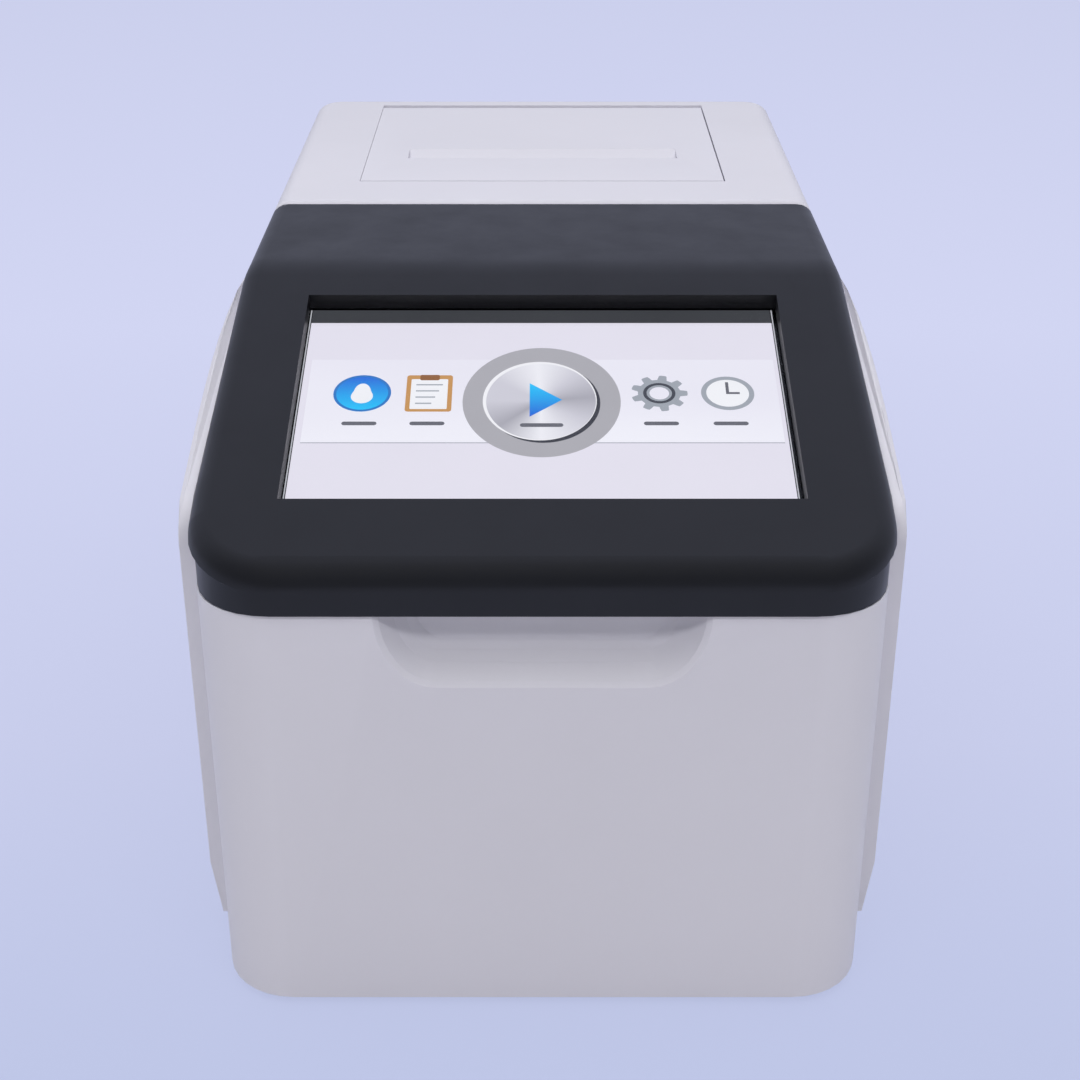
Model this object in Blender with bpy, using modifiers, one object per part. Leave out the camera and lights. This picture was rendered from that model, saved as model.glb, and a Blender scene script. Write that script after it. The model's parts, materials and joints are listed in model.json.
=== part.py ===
"""Benchtop dry chemistry analyzer with a hinged touch-screen lid.

Metres, +Z up, the front faces -Y. The origin is on the table, under the middle of the instrument.
Every sub-part is one object. A moving sub-part hangs from an empty that lies on its joint's axis.
"""
import math

import bmesh
import bpy
from mathutils import Matrix, Vector

# Driving sizes of the whole instrument
HOUSING_HALF_WIDTH = 0.1023
HOUSING_LENGTH = 0.3820
TOP_HEIGHT = 0.1995
FOOT_DROP = 0.0030
LID_TILT = math.radians(16.6)
FOLD_FROM_FRONT = 0.1430
FOLD_SOFTNESS = 0.0060
FOLD_SHARES = (-1.0, -0.5, 0.0, 0.5, 1.0)
REAR_SECTION_LENGTH = 0.1660
LID_END_FROM_FRONT = HOUSING_LENGTH - REAR_SECTION_LENGTH
FRONT_CORNER_RADIUS = 0.0230
REAR_CORNER_RADIUS = 0.0120
EDGE_FILLET = 0.0065
CAP_DROP = 0.0070
WALL = 0.0025
SEAT_GAP = 0.0003
PARTING_GAP = 0.0004
OVERRUN = 0.0100

# Lid shell: a deep chin in front, a shallow skirt along the sides
LID_SIDE_STEP = 0.0003
LID_HALF_WIDTH = HOUSING_HALF_WIDTH - LID_SIDE_STEP
LID_PROUD = 0.0010
LID_SKIN = 0.0020
LID_CORNER_RADIUS = 0.0240
LID_FLARE = 0.0022
LID_CHIN_DEPTH = 0.0144
LID_CHIN_HEIGHT = TOP_HEIGHT - math.tan(LID_TILT) * FOLD_FROM_FRONT - LID_CHIN_DEPTH
CHIN_START_FROM_FRONT = 0.0245
CHIN_END_FROM_FRONT = 0.0360
LID_REAR_GAP = 0.0015
LID_REAR_ROUND = 0.0016
SCREEN_CENTER_FROM_FRONT = 0.0775
SCREEN_SIDE_BAND = 0.0240
OPENING_WIDTH = 2 * (LID_HALF_WIDTH - SCREEN_SIDE_BAND)
OPENING_LENGTH = 0.1014
OPENING_RIM = 0.0020
OPENING_DEPTH = 0.0055

# Display stack, counted down from the lid's face
GLASS_LAP = 0.0044
GLASS_WIDTH = OPENING_WIDTH + 2 * GLASS_LAP
GLASS_LENGTH = OPENING_LENGTH + 2 * GLASS_LAP
GLASS_THICKNESS = 0.0011
DISPLAY_LAP = 0.0040
DISPLAY_LENGTH = 0.1000
DISPLAY_WIDTH = OPENING_WIDTH + 2 * DISPLAY_LAP
DISPLAY_THICKNESS = 0.0050
BRACKET_MARGIN = 0.0030
BRACKET_THICKNESS = 0.0010
BRACKET_LIP = 0.0030
DISPLAY_BOARD_INSET = 0.0220
DISPLAY_BOARD_WIDTH = DISPLAY_WIDTH - 2 * DISPLAY_BOARD_INSET
DISPLAY_BOARD_LENGTH = 0.0700
BOARD_THICKNESS = 0.0016
DISPLAY_CHIP_SIZE = 0.0140
DISPLAY_CHIP_HEIGHT = 0.0015
DISPLAY_CHIP_SHARES = ((-0.3, 0.2), (0.0, -0.2), (0.3, 0.15))

# Inner tray of the lid
TRAY_SIDE_CLEARANCE = 0.0015
TRAY_FRONT_FROM_FRONT = 0.0032
TRAY_CORNER_RADIUS = 0.0200
TRAY_REAR_TO_LID_END = 0.0110
TRAY_DEPTH = 0.0220
TRAY_ABOVE_CHIN = 0.0005
TRAY_FLOOR_HEIGHT = LID_CHIN_HEIGHT + TRAY_ABOVE_CHIN
TRAY_WALL = 0.0020
TRAY_RIM_DROP = 0.0035
TRAY_REAR_CORNER = 0.0050
ARM_THICKNESS = 0.0030
ARM_RADIUS = 0.0026
ARM_ROOT = 0.0030
ARM_TOP_SHARE = 0.8

# Hinge of the lid
HINGE_FROM_LID_END = 0.0060
HINGE_BELOW_TOP = 0.0050
PIN_RADIUS = 0.0013
BORE_CLEARANCE = 0.0004
HINGE_PLATE_THICKNESS = 0.0018
HINGE_PLATE_DROP = 0.0420
HINGE_EAR_RADIUS = 0.0022
HINGE_JOG = 0.0024
HINGE_JOG_DROP = 0.0060
HINGE_JOG_HEIGHT = 0.0040
HINGE_FOOT_INSET = 0.0003
HINGE_EYE_STEPS = 10
PIN_LENGTH = 0.0090
ARM_TO_PLATE_GAP = 0.0006
RELIEF_DEPTH = 0.0054
RELIEF_LENGTH = 0.0105

# Finger recess under the lid's chin
RECESS_FLAT_HALF = 0.0307
RECESS_CORNER_X = 0.0181
RECESS_CORNER_Z = 0.0243
RECESS_DEPTH = 0.0130
RECESS_WALL = 0.0022
RECESS_DEPTH_SHARES = (-0.15, 0.0, 0.12, 0.35, 0.65, 0.88, 1.0)
RECESS_INSET_SHARES = (0.0, 0.0, 0.09, 0.17, 0.30, 0.48, 0.80)

# Ledges inside the housing that carry the chamber deck
LEDGE_WIDTH = 0.0035
LEDGE_HEIGHT = 0.0040
LEDGE_START_FROM_FRONT = 0.0300
LEDGE_END_TO_LID_END = 0.0160

# Raised side covers
SIDE_COVER_BULGE = 0.0064
SIDE_COVER_START = 0.0316
SIDE_COVER_END = 0.1525
SIDE_COVER_BOTTOM = 0.0120
SIDE_COVER_LOWER_TAPER = 0.0197
SIDE_COVER_TOP_TAPER = 0.0012
SIDE_COVER_BOTTOM_SHARE = 0.56
SIDE_COVER_TOP_SHARE = 0.75
SIDE_COVER_END_SHARE = 0.1
SIDE_COVER_STATIONS = 10
SIDE_COVER_GAP = 0.0003
SIDE_COVER_FRONT_LEAN = 0.0010
SIDE_COVER_FORM = 4

# Base plate and feet
BASE_THICKNESS = 0.0015
BASE_RECESS = 0.0005
FOOT_RADIUS = 0.0085
FOOT_TOP_RADIUS = 0.0070
FOOT_INSET_X = 0.0220
FOOT_INSET_FRONT = 0.0320
FOOT_INSET_REAR = 0.0260
VENT_LENGTH = 0.0300
VENT_WIDTH = 0.0030
VENT_PITCH = 0.0070
VENT_COUNT = 7
VENT_COLUMN_X = 0.0360
BASE_VENT_FROM_FRONT = 0.1850
STANDOFF_RADIUS = 0.0030

# Chamber deck and bulkhead behind it
DECK_BELOW_CHIN = 0.0065
DECK_TOP = LID_CHIN_HEIGHT - DECK_BELOW_CHIN
DECK_THICKNESS = 0.0030
DECK_FRONT_FROM_FRONT = 0.0175
DECK_SIDE_CLEARANCE = 0.0012
BULKHEAD_GAP = 0.0003
BULKHEAD_THICKNESS = 0.0025
CHAMBER_FROM_FRONT = 0.0980
WELL_RADIUS = 0.0455
SEAL_INNER_RADIUS = 0.0465
SEAL_WIDTH = 0.0030
SEAL_HEIGHT = 0.0012

# Chamber bowl, heater, motor and turntable
BOWL_RADIUS = 0.0450
BOWL_WALL = 0.0025
BOWL_DEPTH = 0.0250
BOWL_FLANGE = 0.0060
BOWL_BORE = 0.0080
HEATER_INNER_RADIUS = 0.0240
HEATER_OUTER_RADIUS = 0.0440
HEATER_THICKNESS = 0.0020
MOTOR_RADIUS = 0.0210
MOTOR_FLANGE_RADIUS = 0.0230
MOTOR_FLANGE = 0.0030
MOTOR_LENGTH = 0.0320
MOTOR_BEVEL = 0.0020
SHAFT_RADIUS = 0.0030
SHAFT_CLEARANCE = 0.0005
TURNTABLE_RADIUS = 0.0400
TURNTABLE_THICKNESS = 0.0025
TURNTABLE_FLOOR_GAP = 0.0030
TURNTABLE_RIM = 0.0015
HUB_RADIUS = 0.0100
HUB_HEIGHT = 0.0060
HUB_CROWN = 0.0020
DRIVE_PIN_RADIUS = 0.0020
DRIVE_PIN_HEIGHT = 0.0050
DRIVE_PIN_CIRCLE = 0.0180
DRIVE_PIN_COUNT = 3

# Heated cover on the lid that closes the chamber
COVER_CORE_RADIUS = 0.0390
COVER_FLANGE_RADIUS = 0.0490
COVER_FLANGE = 0.0025
COVER_EDGE = 0.0008

# Optics beside the bowl
OPTICS_WALL_CLEARANCE = 0.0173
OPTICS_WIDTH = 0.0400
OPTICS_HEIGHT = 0.0240
OPTICS_BEVEL = 0.0020
OPTICS_GAP = 0.0010
OPTICS_START = BOWL_RADIUS + BOWL_WALL + OPTICS_GAP
OPTICS_LENGTH = HOUSING_HALF_WIDTH - WALL - OPTICS_WALL_CLEARANCE - OPTICS_START
LENS_RADIUS = 0.0050
LENS_LENGTH = 0.0040
LAMP_FIN_COUNT = 5
LAMP_FIN_GAP = 0.0030
LAMP_FIN_DEPTH = 0.0080

# Lid switch, magnets and keepers on the deck
SWITCH_FROM_FRONT = 0.0240
SWITCH_TO_WALL = 0.0178
SWITCH_X = HOUSING_HALF_WIDTH - WALL - SWITCH_TO_WALL
SWITCH_WIDTH = 0.0100
SWITCH_LENGTH = 0.0120
SWITCH_HEIGHT = 0.0140
PLUNGER_RADIUS = 0.0020
PLUNGER_HIDDEN = 0.0080
PLUNGER_CLEARANCE = 0.0003
MAGNET_TO_SWITCH = 0.0200
MAGNET_X = SWITCH_X - MAGNET_TO_SWITCH
MAGNET_FROM_FRONT = 0.0240
MAGNET_RADIUS = 0.0050
MAGNET_THICKNESS = 0.0030
KEEPER_RADIUS = 0.0060
MAGNET_GAP = 0.0006

# Rear cover with the paper door
COVER_LIP_ROUND = 0.0030
COVER_HALF_WIDTH = HOUSING_HALF_WIDTH - LID_SIDE_STEP
DOOR_SIDE_MARGIN = 0.0312
DOOR_HALF_WIDTH = COVER_HALF_WIDTH - DOOR_SIDE_MARGIN
DOOR_FRONT_MARGIN = 0.0287
DOOR_REAR_MARGIN = 0.0136
DOOR_SEAM = 0.0006
DOOR_THICKNESS = 0.0030
DOOR_BARREL_RADIUS = 0.0048
PULL_SIDE_MARGIN = 0.0160
PULL_HALF_WIDTH = DOOR_HALF_WIDTH - PULL_SIDE_MARGIN
PULL_FROM_DOOR_FRONT = 0.0331
PULL_LENGTH = 0.0145
PULL_DEPTH = 0.0024
PULL_WALL = 0.0015

# Paper bucket, printer and roll
BUCKET_WALL = 0.0020
ROLL_RADIUS = 0.0220
ROLL_HEADROOM = 0.0083
ROLL_HALF_WIDTH = 0.0285
ROLL_TO_DOOR_REAR = 0.0504
CORE_RADIUS = 0.0065
CORE_WALL = 0.0012
CHEEK_GAP = 0.0010
CHEEK_THICKNESS = 0.0020
CHEEK_HALF_LENGTH = 0.0240
CHEEK_HEIGHT = 0.0300
PLATEN_RADIUS = 0.0045
PLATEN_HALF_LENGTH = 0.0300
PLATEN_FROM_DOOR_FRONT = 0.0108
PLATEN_BELOW_TOP = 0.0110
PLATEN_SHAFT_RADIUS = 0.0015
EAR_THICKNESS = 0.0020
EAR_RADIUS = 0.0035
EAR_GAP = 0.0005
GEAR_WIDTH = 0.0040
GEAR_MODULE = 0.0006
PLATEN_TEETH = 16
DRIVE_TEETH = 24
HEAD_THICKNESS = 0.0040
HEAD_HEIGHT = 0.0120
HEAD_GAP = 0.0003
PRINTER_LENGTH = 0.0240
PRINTER_HALF_WIDTH = 0.0340
DOOR_PIN_RADIUS = 0.0010
DOOR_PIN_LENGTH = 0.0070

# Rear panel, sockets, switch and fan
PANEL_SIDE_MARGIN = 0.0163
PANEL_HALF_WIDTH = HOUSING_HALF_WIDTH - PANEL_SIDE_MARGIN
PANEL_BOTTOM = 0.0180
PANEL_TOP = 0.1250
PANEL_PLATE = 0.0018
FAN_SIZE = 0.0500
FAN_DEPTH = 0.0150
FAN_FROM_PANEL_EDGE = 0.0360
FAN_X = PANEL_HALF_WIDTH - FAN_FROM_PANEL_EDGE
FAN_Z = 0.0800
FAN_BORE_RADIUS = 0.0235
FAN_HUB_RADIUS = 0.0110
FAN_BLADE_COUNT = 7
FAN_BLADE_THICKNESS = 0.0012
FAN_BLADE_CHORD = 0.0110
FAN_BLADE_ROOT = 0.0016
FAN_BLADE_PITCH = math.radians(38.0)
FAN_TIP_GAP = 0.0010
FAN_STRUT = 0.0030
STRUT_SHARE = 0.8
FAN_PLATE = 0.0025
GRILLE_SLOT = 0.0030
GRILLE_PITCH = 0.0060
GRILLE_COUNT = 7
SOCKET_PITCH = 0.0240
INLET_FROM_PANEL_EDGE = 0.0220
INLET_X = INLET_FROM_PANEL_EDGE - PANEL_HALF_WIDTH
INLET_WIDTH = 0.0150
INLET_HEIGHT = 0.0120
INLET_LENGTH = 0.0160
INLET_BORE_RADIUS = 0.0045
INLET_BORE_DEPTH = 0.0110
INLET_PIN_RADIUS = 0.0010
USB_X = INLET_X + SOCKET_PITCH
USB_WIDTH = 0.0145
USB_HEIGHT = 0.0160
USB_LENGTH = 0.0170
USB_MOUTH_WIDTH = 0.0122
USB_MOUTH_HEIGHT = 0.0050
USB_MOUTH_DEPTH = 0.0120
USB_MOUTH_SHARES = (0.26, 0.74)
LAN_X = USB_X + SOCKET_PITCH
LAN_WIDTH = 0.0160
LAN_HEIGHT = 0.0140
LAN_LENGTH = 0.0200
LAN_MOUTH_WIDTH = 0.0118
LAN_MOUTH_HEIGHT = 0.0080
LAN_MOUTH_DEPTH = 0.0130
SWITCH_BEZEL_WIDTH = 0.0150
SWITCH_BEZEL_HEIGHT = 0.0210
SWITCH_PANEL_X = INLET_X
SWITCH_PANEL_Z = 0.0800
SWITCH_BODY_DEPTH = 0.0140
SWITCH_FRAME = 0.0015
ROCKER_ANGLE = math.radians(9.0)
ROCKER_THICKNESS = 0.0050
ROCKER_GAP = 0.0006

# Boards and power module on the base plate
BOARD_HEIGHT = 0.0360
BOARD_SIDE_MARGIN = 0.0198
BOARD_HALF_WIDTH = HOUSING_HALF_WIDTH - WALL - BOARD_SIDE_MARGIN
BOARD_LENGTH = 0.1400
BOARD_REAR_GAP = 0.0030
STANDOFF_INSET = 0.0080
BOARD_CHIP_SHARES = ((0.1, 0.3), (-0.5, 0.3))
BOARD_SINK_SHARES = (0.55, 0.35)
BOARD_CAN_SHARE = -0.85
BOARD_CAN_START = 0.0280
BOARD_CAN_PITCH = 0.0170
BOARD_CHIP = 0.0220
BOARD_CHIP_HEIGHT = 0.0040
BOARD_SINK = 0.0080
CAN_RADIUS = 0.0050
CAN_HEIGHT = 0.0120
POWER_WIDTH = 0.0700
POWER_LENGTH = 0.0900
POWER_HEIGHT = 0.0300
POWER_START_FROM_FRONT = 0.0400
POWER_FIN_COUNT = 8
POWER_FIN_GAP = 0.0040
POWER_FIN_DEPTH = 0.0120

# Places worked out from the sizes above
FRONT_Y = -(HOUSING_LENGTH - LID_PROUD) / 2
REAR_Y = FRONT_Y + HOUSING_LENGTH
SLOPE = math.tan(LID_TILT)
FOLD_Y = FRONT_Y + FOLD_FROM_FRONT
LID_END_Y = FRONT_Y + LID_END_FROM_FRONT
HINGE_Y = LID_END_Y - HINGE_FROM_LID_END
HINGE_Z = TOP_HEIGHT - HINGE_BELOW_TOP
CHAMBER_Y = FRONT_Y + CHAMBER_FROM_FRONT
INNER_HALF_WIDTH = HOUSING_HALF_WIDTH - WALL
COVER_FRONT_Y = LID_END_Y + LID_REAR_GAP
DOOR_FRONT_Y = COVER_FRONT_Y + DOOR_FRONT_MARGIN
DOOR_REAR_Y = REAR_Y - DOOR_REAR_MARGIN
BUCKET_FLOOR = TOP_HEIGHT - PULL_DEPTH - PULL_WALL - ROLL_HEADROOM - 2 * ROLL_RADIUS - SEAT_GAP
BUCKET_BOTTOM = BUCKET_FLOOR - BUCKET_WALL
MERGE_DISTANCE = 0.00001
ROUND_STEPS = 32
CORNER_STEPS = 8
FILLET_STEPS = 5


def clear_scene():
    for thing in list(bpy.data.objects):
        bpy.data.objects.remove(thing, do_unlink=True)


def make_collection(name):
    collection = bpy.data.collections.new(name)
    bpy.context.scene.collection.children.link(collection)
    return collection


clear_scene()
PARTS = make_collection("dry_chemistry_analyzer")
CUTTERS = make_collection("cutters")


def material(name, color, roughness, metallic=0.0):
    made = bpy.data.materials.new(name)
    made.use_nodes = True
    shader = made.node_tree.nodes["Principled BSDF"]
    shader.inputs["Base Color"].default_value = (*color, 1.0)
    shader.inputs["Roughness"].default_value = roughness
    shader.inputs["Metallic"].default_value = metallic
    return made


WHITE_PLASTIC = material("white_plastic", (0.78, 0.77, 0.84), 0.42)
DARK_PLASTIC = material("dark_plastic", (0.045, 0.048, 0.062), 0.38)
GREY_PLASTIC = material("grey_plastic", (0.42, 0.43, 0.46), 0.5)
BLACK_PLASTIC = material("black_plastic", (0.02, 0.02, 0.022), 0.45)
RUBBER = material("rubber", (0.03, 0.03, 0.03), 0.85)
STEEL = material("steel", (0.62, 0.63, 0.65), 0.35, 1.0)
ALUMINIUM = material("aluminium", (0.72, 0.73, 0.75), 0.3, 1.0)
CIRCUIT_BOARD = material("circuit_board", (0.02, 0.16, 0.07), 0.4)
GLASS = material("screen_glass", (0.75, 0.75, 0.82), 0.08)
DISPLAY_PANEL = material("display_panel", (0.1, 0.1, 0.11), 0.3)
PAPER = material("paper", (0.9, 0.9, 0.88), 0.9)


def add_object(name, mesh, finish=None, parent=None, place=(0.0, 0.0, 0.0), home=None):
    """Link a mesh as an object. place is its origin in the parent's own frame."""
    made = bpy.data.objects.new(name, mesh)
    (home or PARTS).objects.link(made)
    made.location = place
    if finish:
        mesh.materials.append(finish)
    if parent:
        made.parent = parent
    return made


def add_pivot(name, place, tilt=0.0, parent=None):
    pivot = bpy.data.objects.new(name, None)
    PARTS.objects.link(pivot)
    pivot.location = place
    pivot.rotation_euler = (tilt, 0.0, 0.0)
    if parent:
        pivot.parent = parent
    return pivot


def finish_mesh(name, bm, smooth=True, origin=(0.0, 0.0, 0.0)):
    """Turn a bmesh into a mesh whose origin is the given world point."""
    bmesh.ops.translate(bm, verts=bm.verts, vec=-Vector(origin))
    bmesh.ops.recalc_face_normals(bm, faces=bm.faces)
    mesh = bpy.data.meshes.new(name)
    bm.to_mesh(mesh)
    bm.free()
    if smooth:
        mesh.shade_smooth()
        mesh.set_sharp_from_angle(angle=math.radians(35.0))
    return mesh


def box_bmesh(low, high, bm=None):
    bm = bm or bmesh.new()
    size = Vector(high) - Vector(low)
    middle = (Vector(high) + Vector(low)) / 2
    matrix = Matrix.Translation(middle) @ Matrix.Diagonal((*size, 1.0))
    bmesh.ops.create_cube(bm, size=1.0, matrix=matrix)
    return bm


def boxes_bmesh(spans):
    bm = bmesh.new()
    for low, high in spans:
        box_bmesh(low, high, bm)
    return bm


def part_box(name, low, high, finish, origin=(0.0, 0.0, 0.0), parent=None, place=(0.0, 0.0, 0.0)):
    mesh = finish_mesh(name, box_bmesh(low, high), smooth=False, origin=origin)
    return add_object(name, mesh, finish, parent, place)


def cutter(name, bm, parent=None):
    """A tool for a Boolean, in world places or in the frame of its parent."""
    made = add_object(name, finish_mesh(name, bm, smooth=False), None, parent, home=CUTTERS)
    made.hide_render = True
    made.display_type = "WIRE"
    return made


def boolean(target, tool, operation):
    step = target.modifiers.new(tool.name, "BOOLEAN")
    step.operation = operation
    step.solver = "EXACT"
    step.object = tool
    return step


def cut(target, tool):
    boolean(target, tool, "DIFFERENCE")


def join(target, tool):
    boolean(target, tool, "UNION")


def bevel(target, width, segments=2):
    step = target.modifiers.new("edges", "BEVEL")
    step.width = width
    step.segments = segments
    step.limit_method = "ANGLE"
    step.angle_limit = math.radians(40.0)
    return step


def turned(name, profile, finish, closed=False, parent=None, place=(0.0, 0.0, 0.0), tilt=(0.0, 0.0, 0.0),
           steps=ROUND_STEPS, home=None):
    """A turned shape. The profile is (radius, height) points that run down the outer side."""
    mesh = bpy.data.meshes.new(name)
    count = len(profile)
    edges = [(i, i + 1) for i in range(count - 1)]
    if closed:
        edges.append((count - 1, 0))
    mesh.from_pydata([(radius, 0.0, height) for radius, height in profile], edges, [])
    made = add_object(name, mesh, finish, parent, place, home)
    made.rotation_euler = tilt
    screw = made.modifiers.new("turn", "SCREW")
    screw.axis = "Z"
    screw.angle = math.tau
    screw.steps = steps
    screw.render_steps = steps
    screw.use_merge_vertices = True
    screw.merge_threshold = MERGE_DISTANCE
    screw.use_smooth_shade = True
    if home:
        made.hide_render = True
        made.display_type = "WIRE"
    return made


def rod_profile(radius, low, high, edge=0.0):
    if not edge:
        return [(0.0, high), (radius, high), (radius, low), (0.0, low)]
    return [(0.0, high), (radius - edge, high), (radius, high - edge), (radius, low + edge),
            (radius - edge, low), (0.0, low)]


def ring_profile(inner, outer, low, high):
    return [(inner, high), (outer, high), (outer, low), (inner, low)]


def rod_bmesh(radius, start, end, steps=ROUND_STEPS, bm=None):
    """A plain round bar between two points."""
    bm = bm or bmesh.new()
    start, end = Vector(start), Vector(end)
    run = end - start
    turn = run.to_track_quat("Z", "Y").to_matrix().to_4x4()
    matrix = Matrix.Translation((start + end) / 2) @ turn
    bmesh.ops.create_cone(bm, cap_ends=True, segments=steps, radius1=radius, radius2=radius,
                          depth=run.length, matrix=matrix)
    return bm


def lid_surface(y):
    """Height of the closed lid's face, and of the flat top behind it."""
    past = y - FOLD_Y
    if past >= FOLD_SOFTNESS:
        return TOP_HEIGHT
    if past <= -FOLD_SOFTNESS:
        return TOP_HEIGHT + SLOPE * past
    return TOP_HEIGHT - SLOPE * (FOLD_SOFTNESS - past) ** 2 / (4 * FOLD_SOFTNESS)


def lid_edge(y):
    """Height of the lid's lower edge: the chin in front, then the side skirt."""
    start = FRONT_Y + CHIN_START_FROM_FRONT
    end = FRONT_Y + CHIN_END_FROM_FRONT
    if y <= start:
        return LID_CHIN_HEIGHT
    if y >= end:
        return lid_surface(y) - CAP_DROP
    side = lid_surface(end) - CAP_DROP
    return LID_CHIN_HEIGHT + (side - LID_CHIN_HEIGHT) * (y - start) / (end - start)


def housing_edge(y):
    return lid_edge(y) - PARTING_GAP


def lid_flare(y):
    """How far the lid's rounded edge overhangs the side covers, from the fold to the front corner."""
    end = FRONT_Y + SIDE_COVER_END
    widest = FRONT_Y + CHIN_END_FROM_FRONT
    if y >= end:
        return 0.0
    if y >= widest:
        return LID_FLARE * (end - y) / (end - widest)
    return LID_FLARE * math.sin(math.pi / 2 * max(y - FRONT_Y, 0.0) / (widest - FRONT_Y))


def tray_underside(y):
    return max(TRAY_FLOOR_HEIGHT, lid_surface(y) - TRAY_DEPTH)


def tray_rim(y):
    return lid_surface(y) - TRAY_RIM_DROP


def half_outline(half_width, front, rear, front_radius, rear_radius, stations=(), inset=0.0):
    """Right half of a rounded plan outline, from the front edge to the rear edge."""
    points = []
    for step in range(CORNER_STEPS + 1):
        angle = math.pi / 2 * (step / CORNER_STEPS - 1)
        reach = front_radius - inset
        points.append((half_width - front_radius + reach * math.cos(angle),
                       front + front_radius + reach * math.sin(angle)))
    low, high = front + front_radius, rear - rear_radius
    for y in sorted(stations):
        if low < y < high:
            points.append((half_width - inset, y))
    for step in range(CORNER_STEPS + 1):
        angle = math.pi / 2 * step / CORNER_STEPS
        reach = rear_radius - inset
        points.append((half_width - rear_radius + reach * math.cos(angle),
                       rear - rear_radius + reach * math.sin(angle)))
    return points


def fold_stations():
    return [FOLD_Y + FOLD_SOFTNESS * share for share in FOLD_SHARES]


def edge_stations():
    return fold_stations() + [FRONT_Y + CHIN_START_FROM_FRONT, FRONT_Y + CHIN_END_FROM_FRONT,
                              FRONT_Y + SIDE_COVER_END]


def mirrored_loft(rings):
    """A closed solid from right-half rings of (x, y, z), mirrored over the middle plane."""
    bm = bmesh.new()
    levels = []
    for ring in rings:
        right = [bm.verts.new(point) for point in ring]
        left = [bm.verts.new((-x, y, z)) for x, y, z in reversed(ring)]
        levels.append(right + left)
    for lower, upper in zip(levels, levels[1:]):
        count = len(lower)
        for i in range(count):
            j = (i + 1) % count
            bm.faces.new((lower[i], lower[j], upper[j], upper[i]))
    for level in (levels[0], levels[-1]):
        count = len(level)
        for i in range(count // 2 - 1):
            bm.faces.new((level[i], level[i + 1], level[count - 2 - i], level[count - 1 - i]))
    return bm


def section_loft(sections):
    """A closed solid through flat sections with the same number of points."""
    bm = bmesh.new()
    levels = [[bm.verts.new(point) for point in section] for section in sections]
    for lower, upper in zip(levels, levels[1:]):
        count = len(lower)
        for i in range(count):
            j = (i + 1) % count
            bm.faces.new((lower[i], lower[j], upper[j], upper[i]))
    bm.faces.new(levels[0])
    bm.faces.new(levels[-1])
    return bm


def domed_rings(half_width, front, rear, front_radius, rear_radius, stations, bottom, top, fillet):
    """Rings of a body with upright walls and a rounded edge under a shaped top."""
    def ring(inset, height):
        outline = half_outline(half_width, front, rear, front_radius, rear_radius, stations, inset)
        return [(x, y, height(y)) for x, y in outline]

    rings = [ring(0.0, bottom)]
    for step in range(FILLET_STEPS + 1):
        angle = math.pi / 2 * step / FILLET_STEPS
        drop = fillet * (1 - math.sin(angle))
        rings.append(ring(fillet * (1 - math.cos(angle)), lambda y, d=drop: top(y) - d))
    return rings


def flat_rings(outline, heights):
    return [[(x, y, height(y)) for x, y in outline] for height in heights]


def trim(bm, y, keep_front):
    """Cut a solid flat at one distance from the front and close it."""
    geometry = list(bm.verts) + list(bm.edges) + list(bm.faces)
    normal = (0.0, 1.0, 0.0) if keep_front else (0.0, -1.0, 0.0)
    result = bmesh.ops.bisect_plane(bm, geom=geometry, plane_co=(0.0, y, 0.0), plane_no=normal,
                                    clear_outer=True)
    rim = [edge for edge in result["geom_cut"] if isinstance(edge, bmesh.types.BMEdge)]
    bmesh.ops.holes_fill(bm, edges=rim, sides=0)
    return [edge for edge in rim if edge.is_valid]


def round_rim(bm, y, base, radius):
    """Round the top edge where a solid was cut flat."""
    rim = [edge for edge in bm.edges
           if all(abs(v.co.y - y) < SEAT_GAP for v in edge.verts)
           and max(v.co.z for v in edge.verts) > base + SEAT_GAP]
    bmesh.ops.bevel(bm, geom=rim, offset=radius, segments=3, profile=0.5, affect="EDGES",
                    offset_type="OFFSET")


def recess_section(y, inset, top):
    """Outline of the finger recess at one depth: a flat floor and rounded sides."""
    side = RECESS_CORNER_X * (1 - inset)
    low = RECESS_CORNER_Z * (1 - inset * RECESS_CORNER_X / RECESS_CORNER_Z)
    base = LID_CHIN_HEIGHT
    right = []
    for step in range(CORNER_STEPS + 1):
        angle = math.pi / 2 * step / CORNER_STEPS
        right.append((RECESS_FLAT_HALF + side * math.cos(angle), base - low * math.sin(angle)))
    points = [(RECESS_FLAT_HALF + side, top)] + right
    points += [(-x, z) for x, z in reversed(points)]
    return [(x, y, z) for x, z in points]


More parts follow.
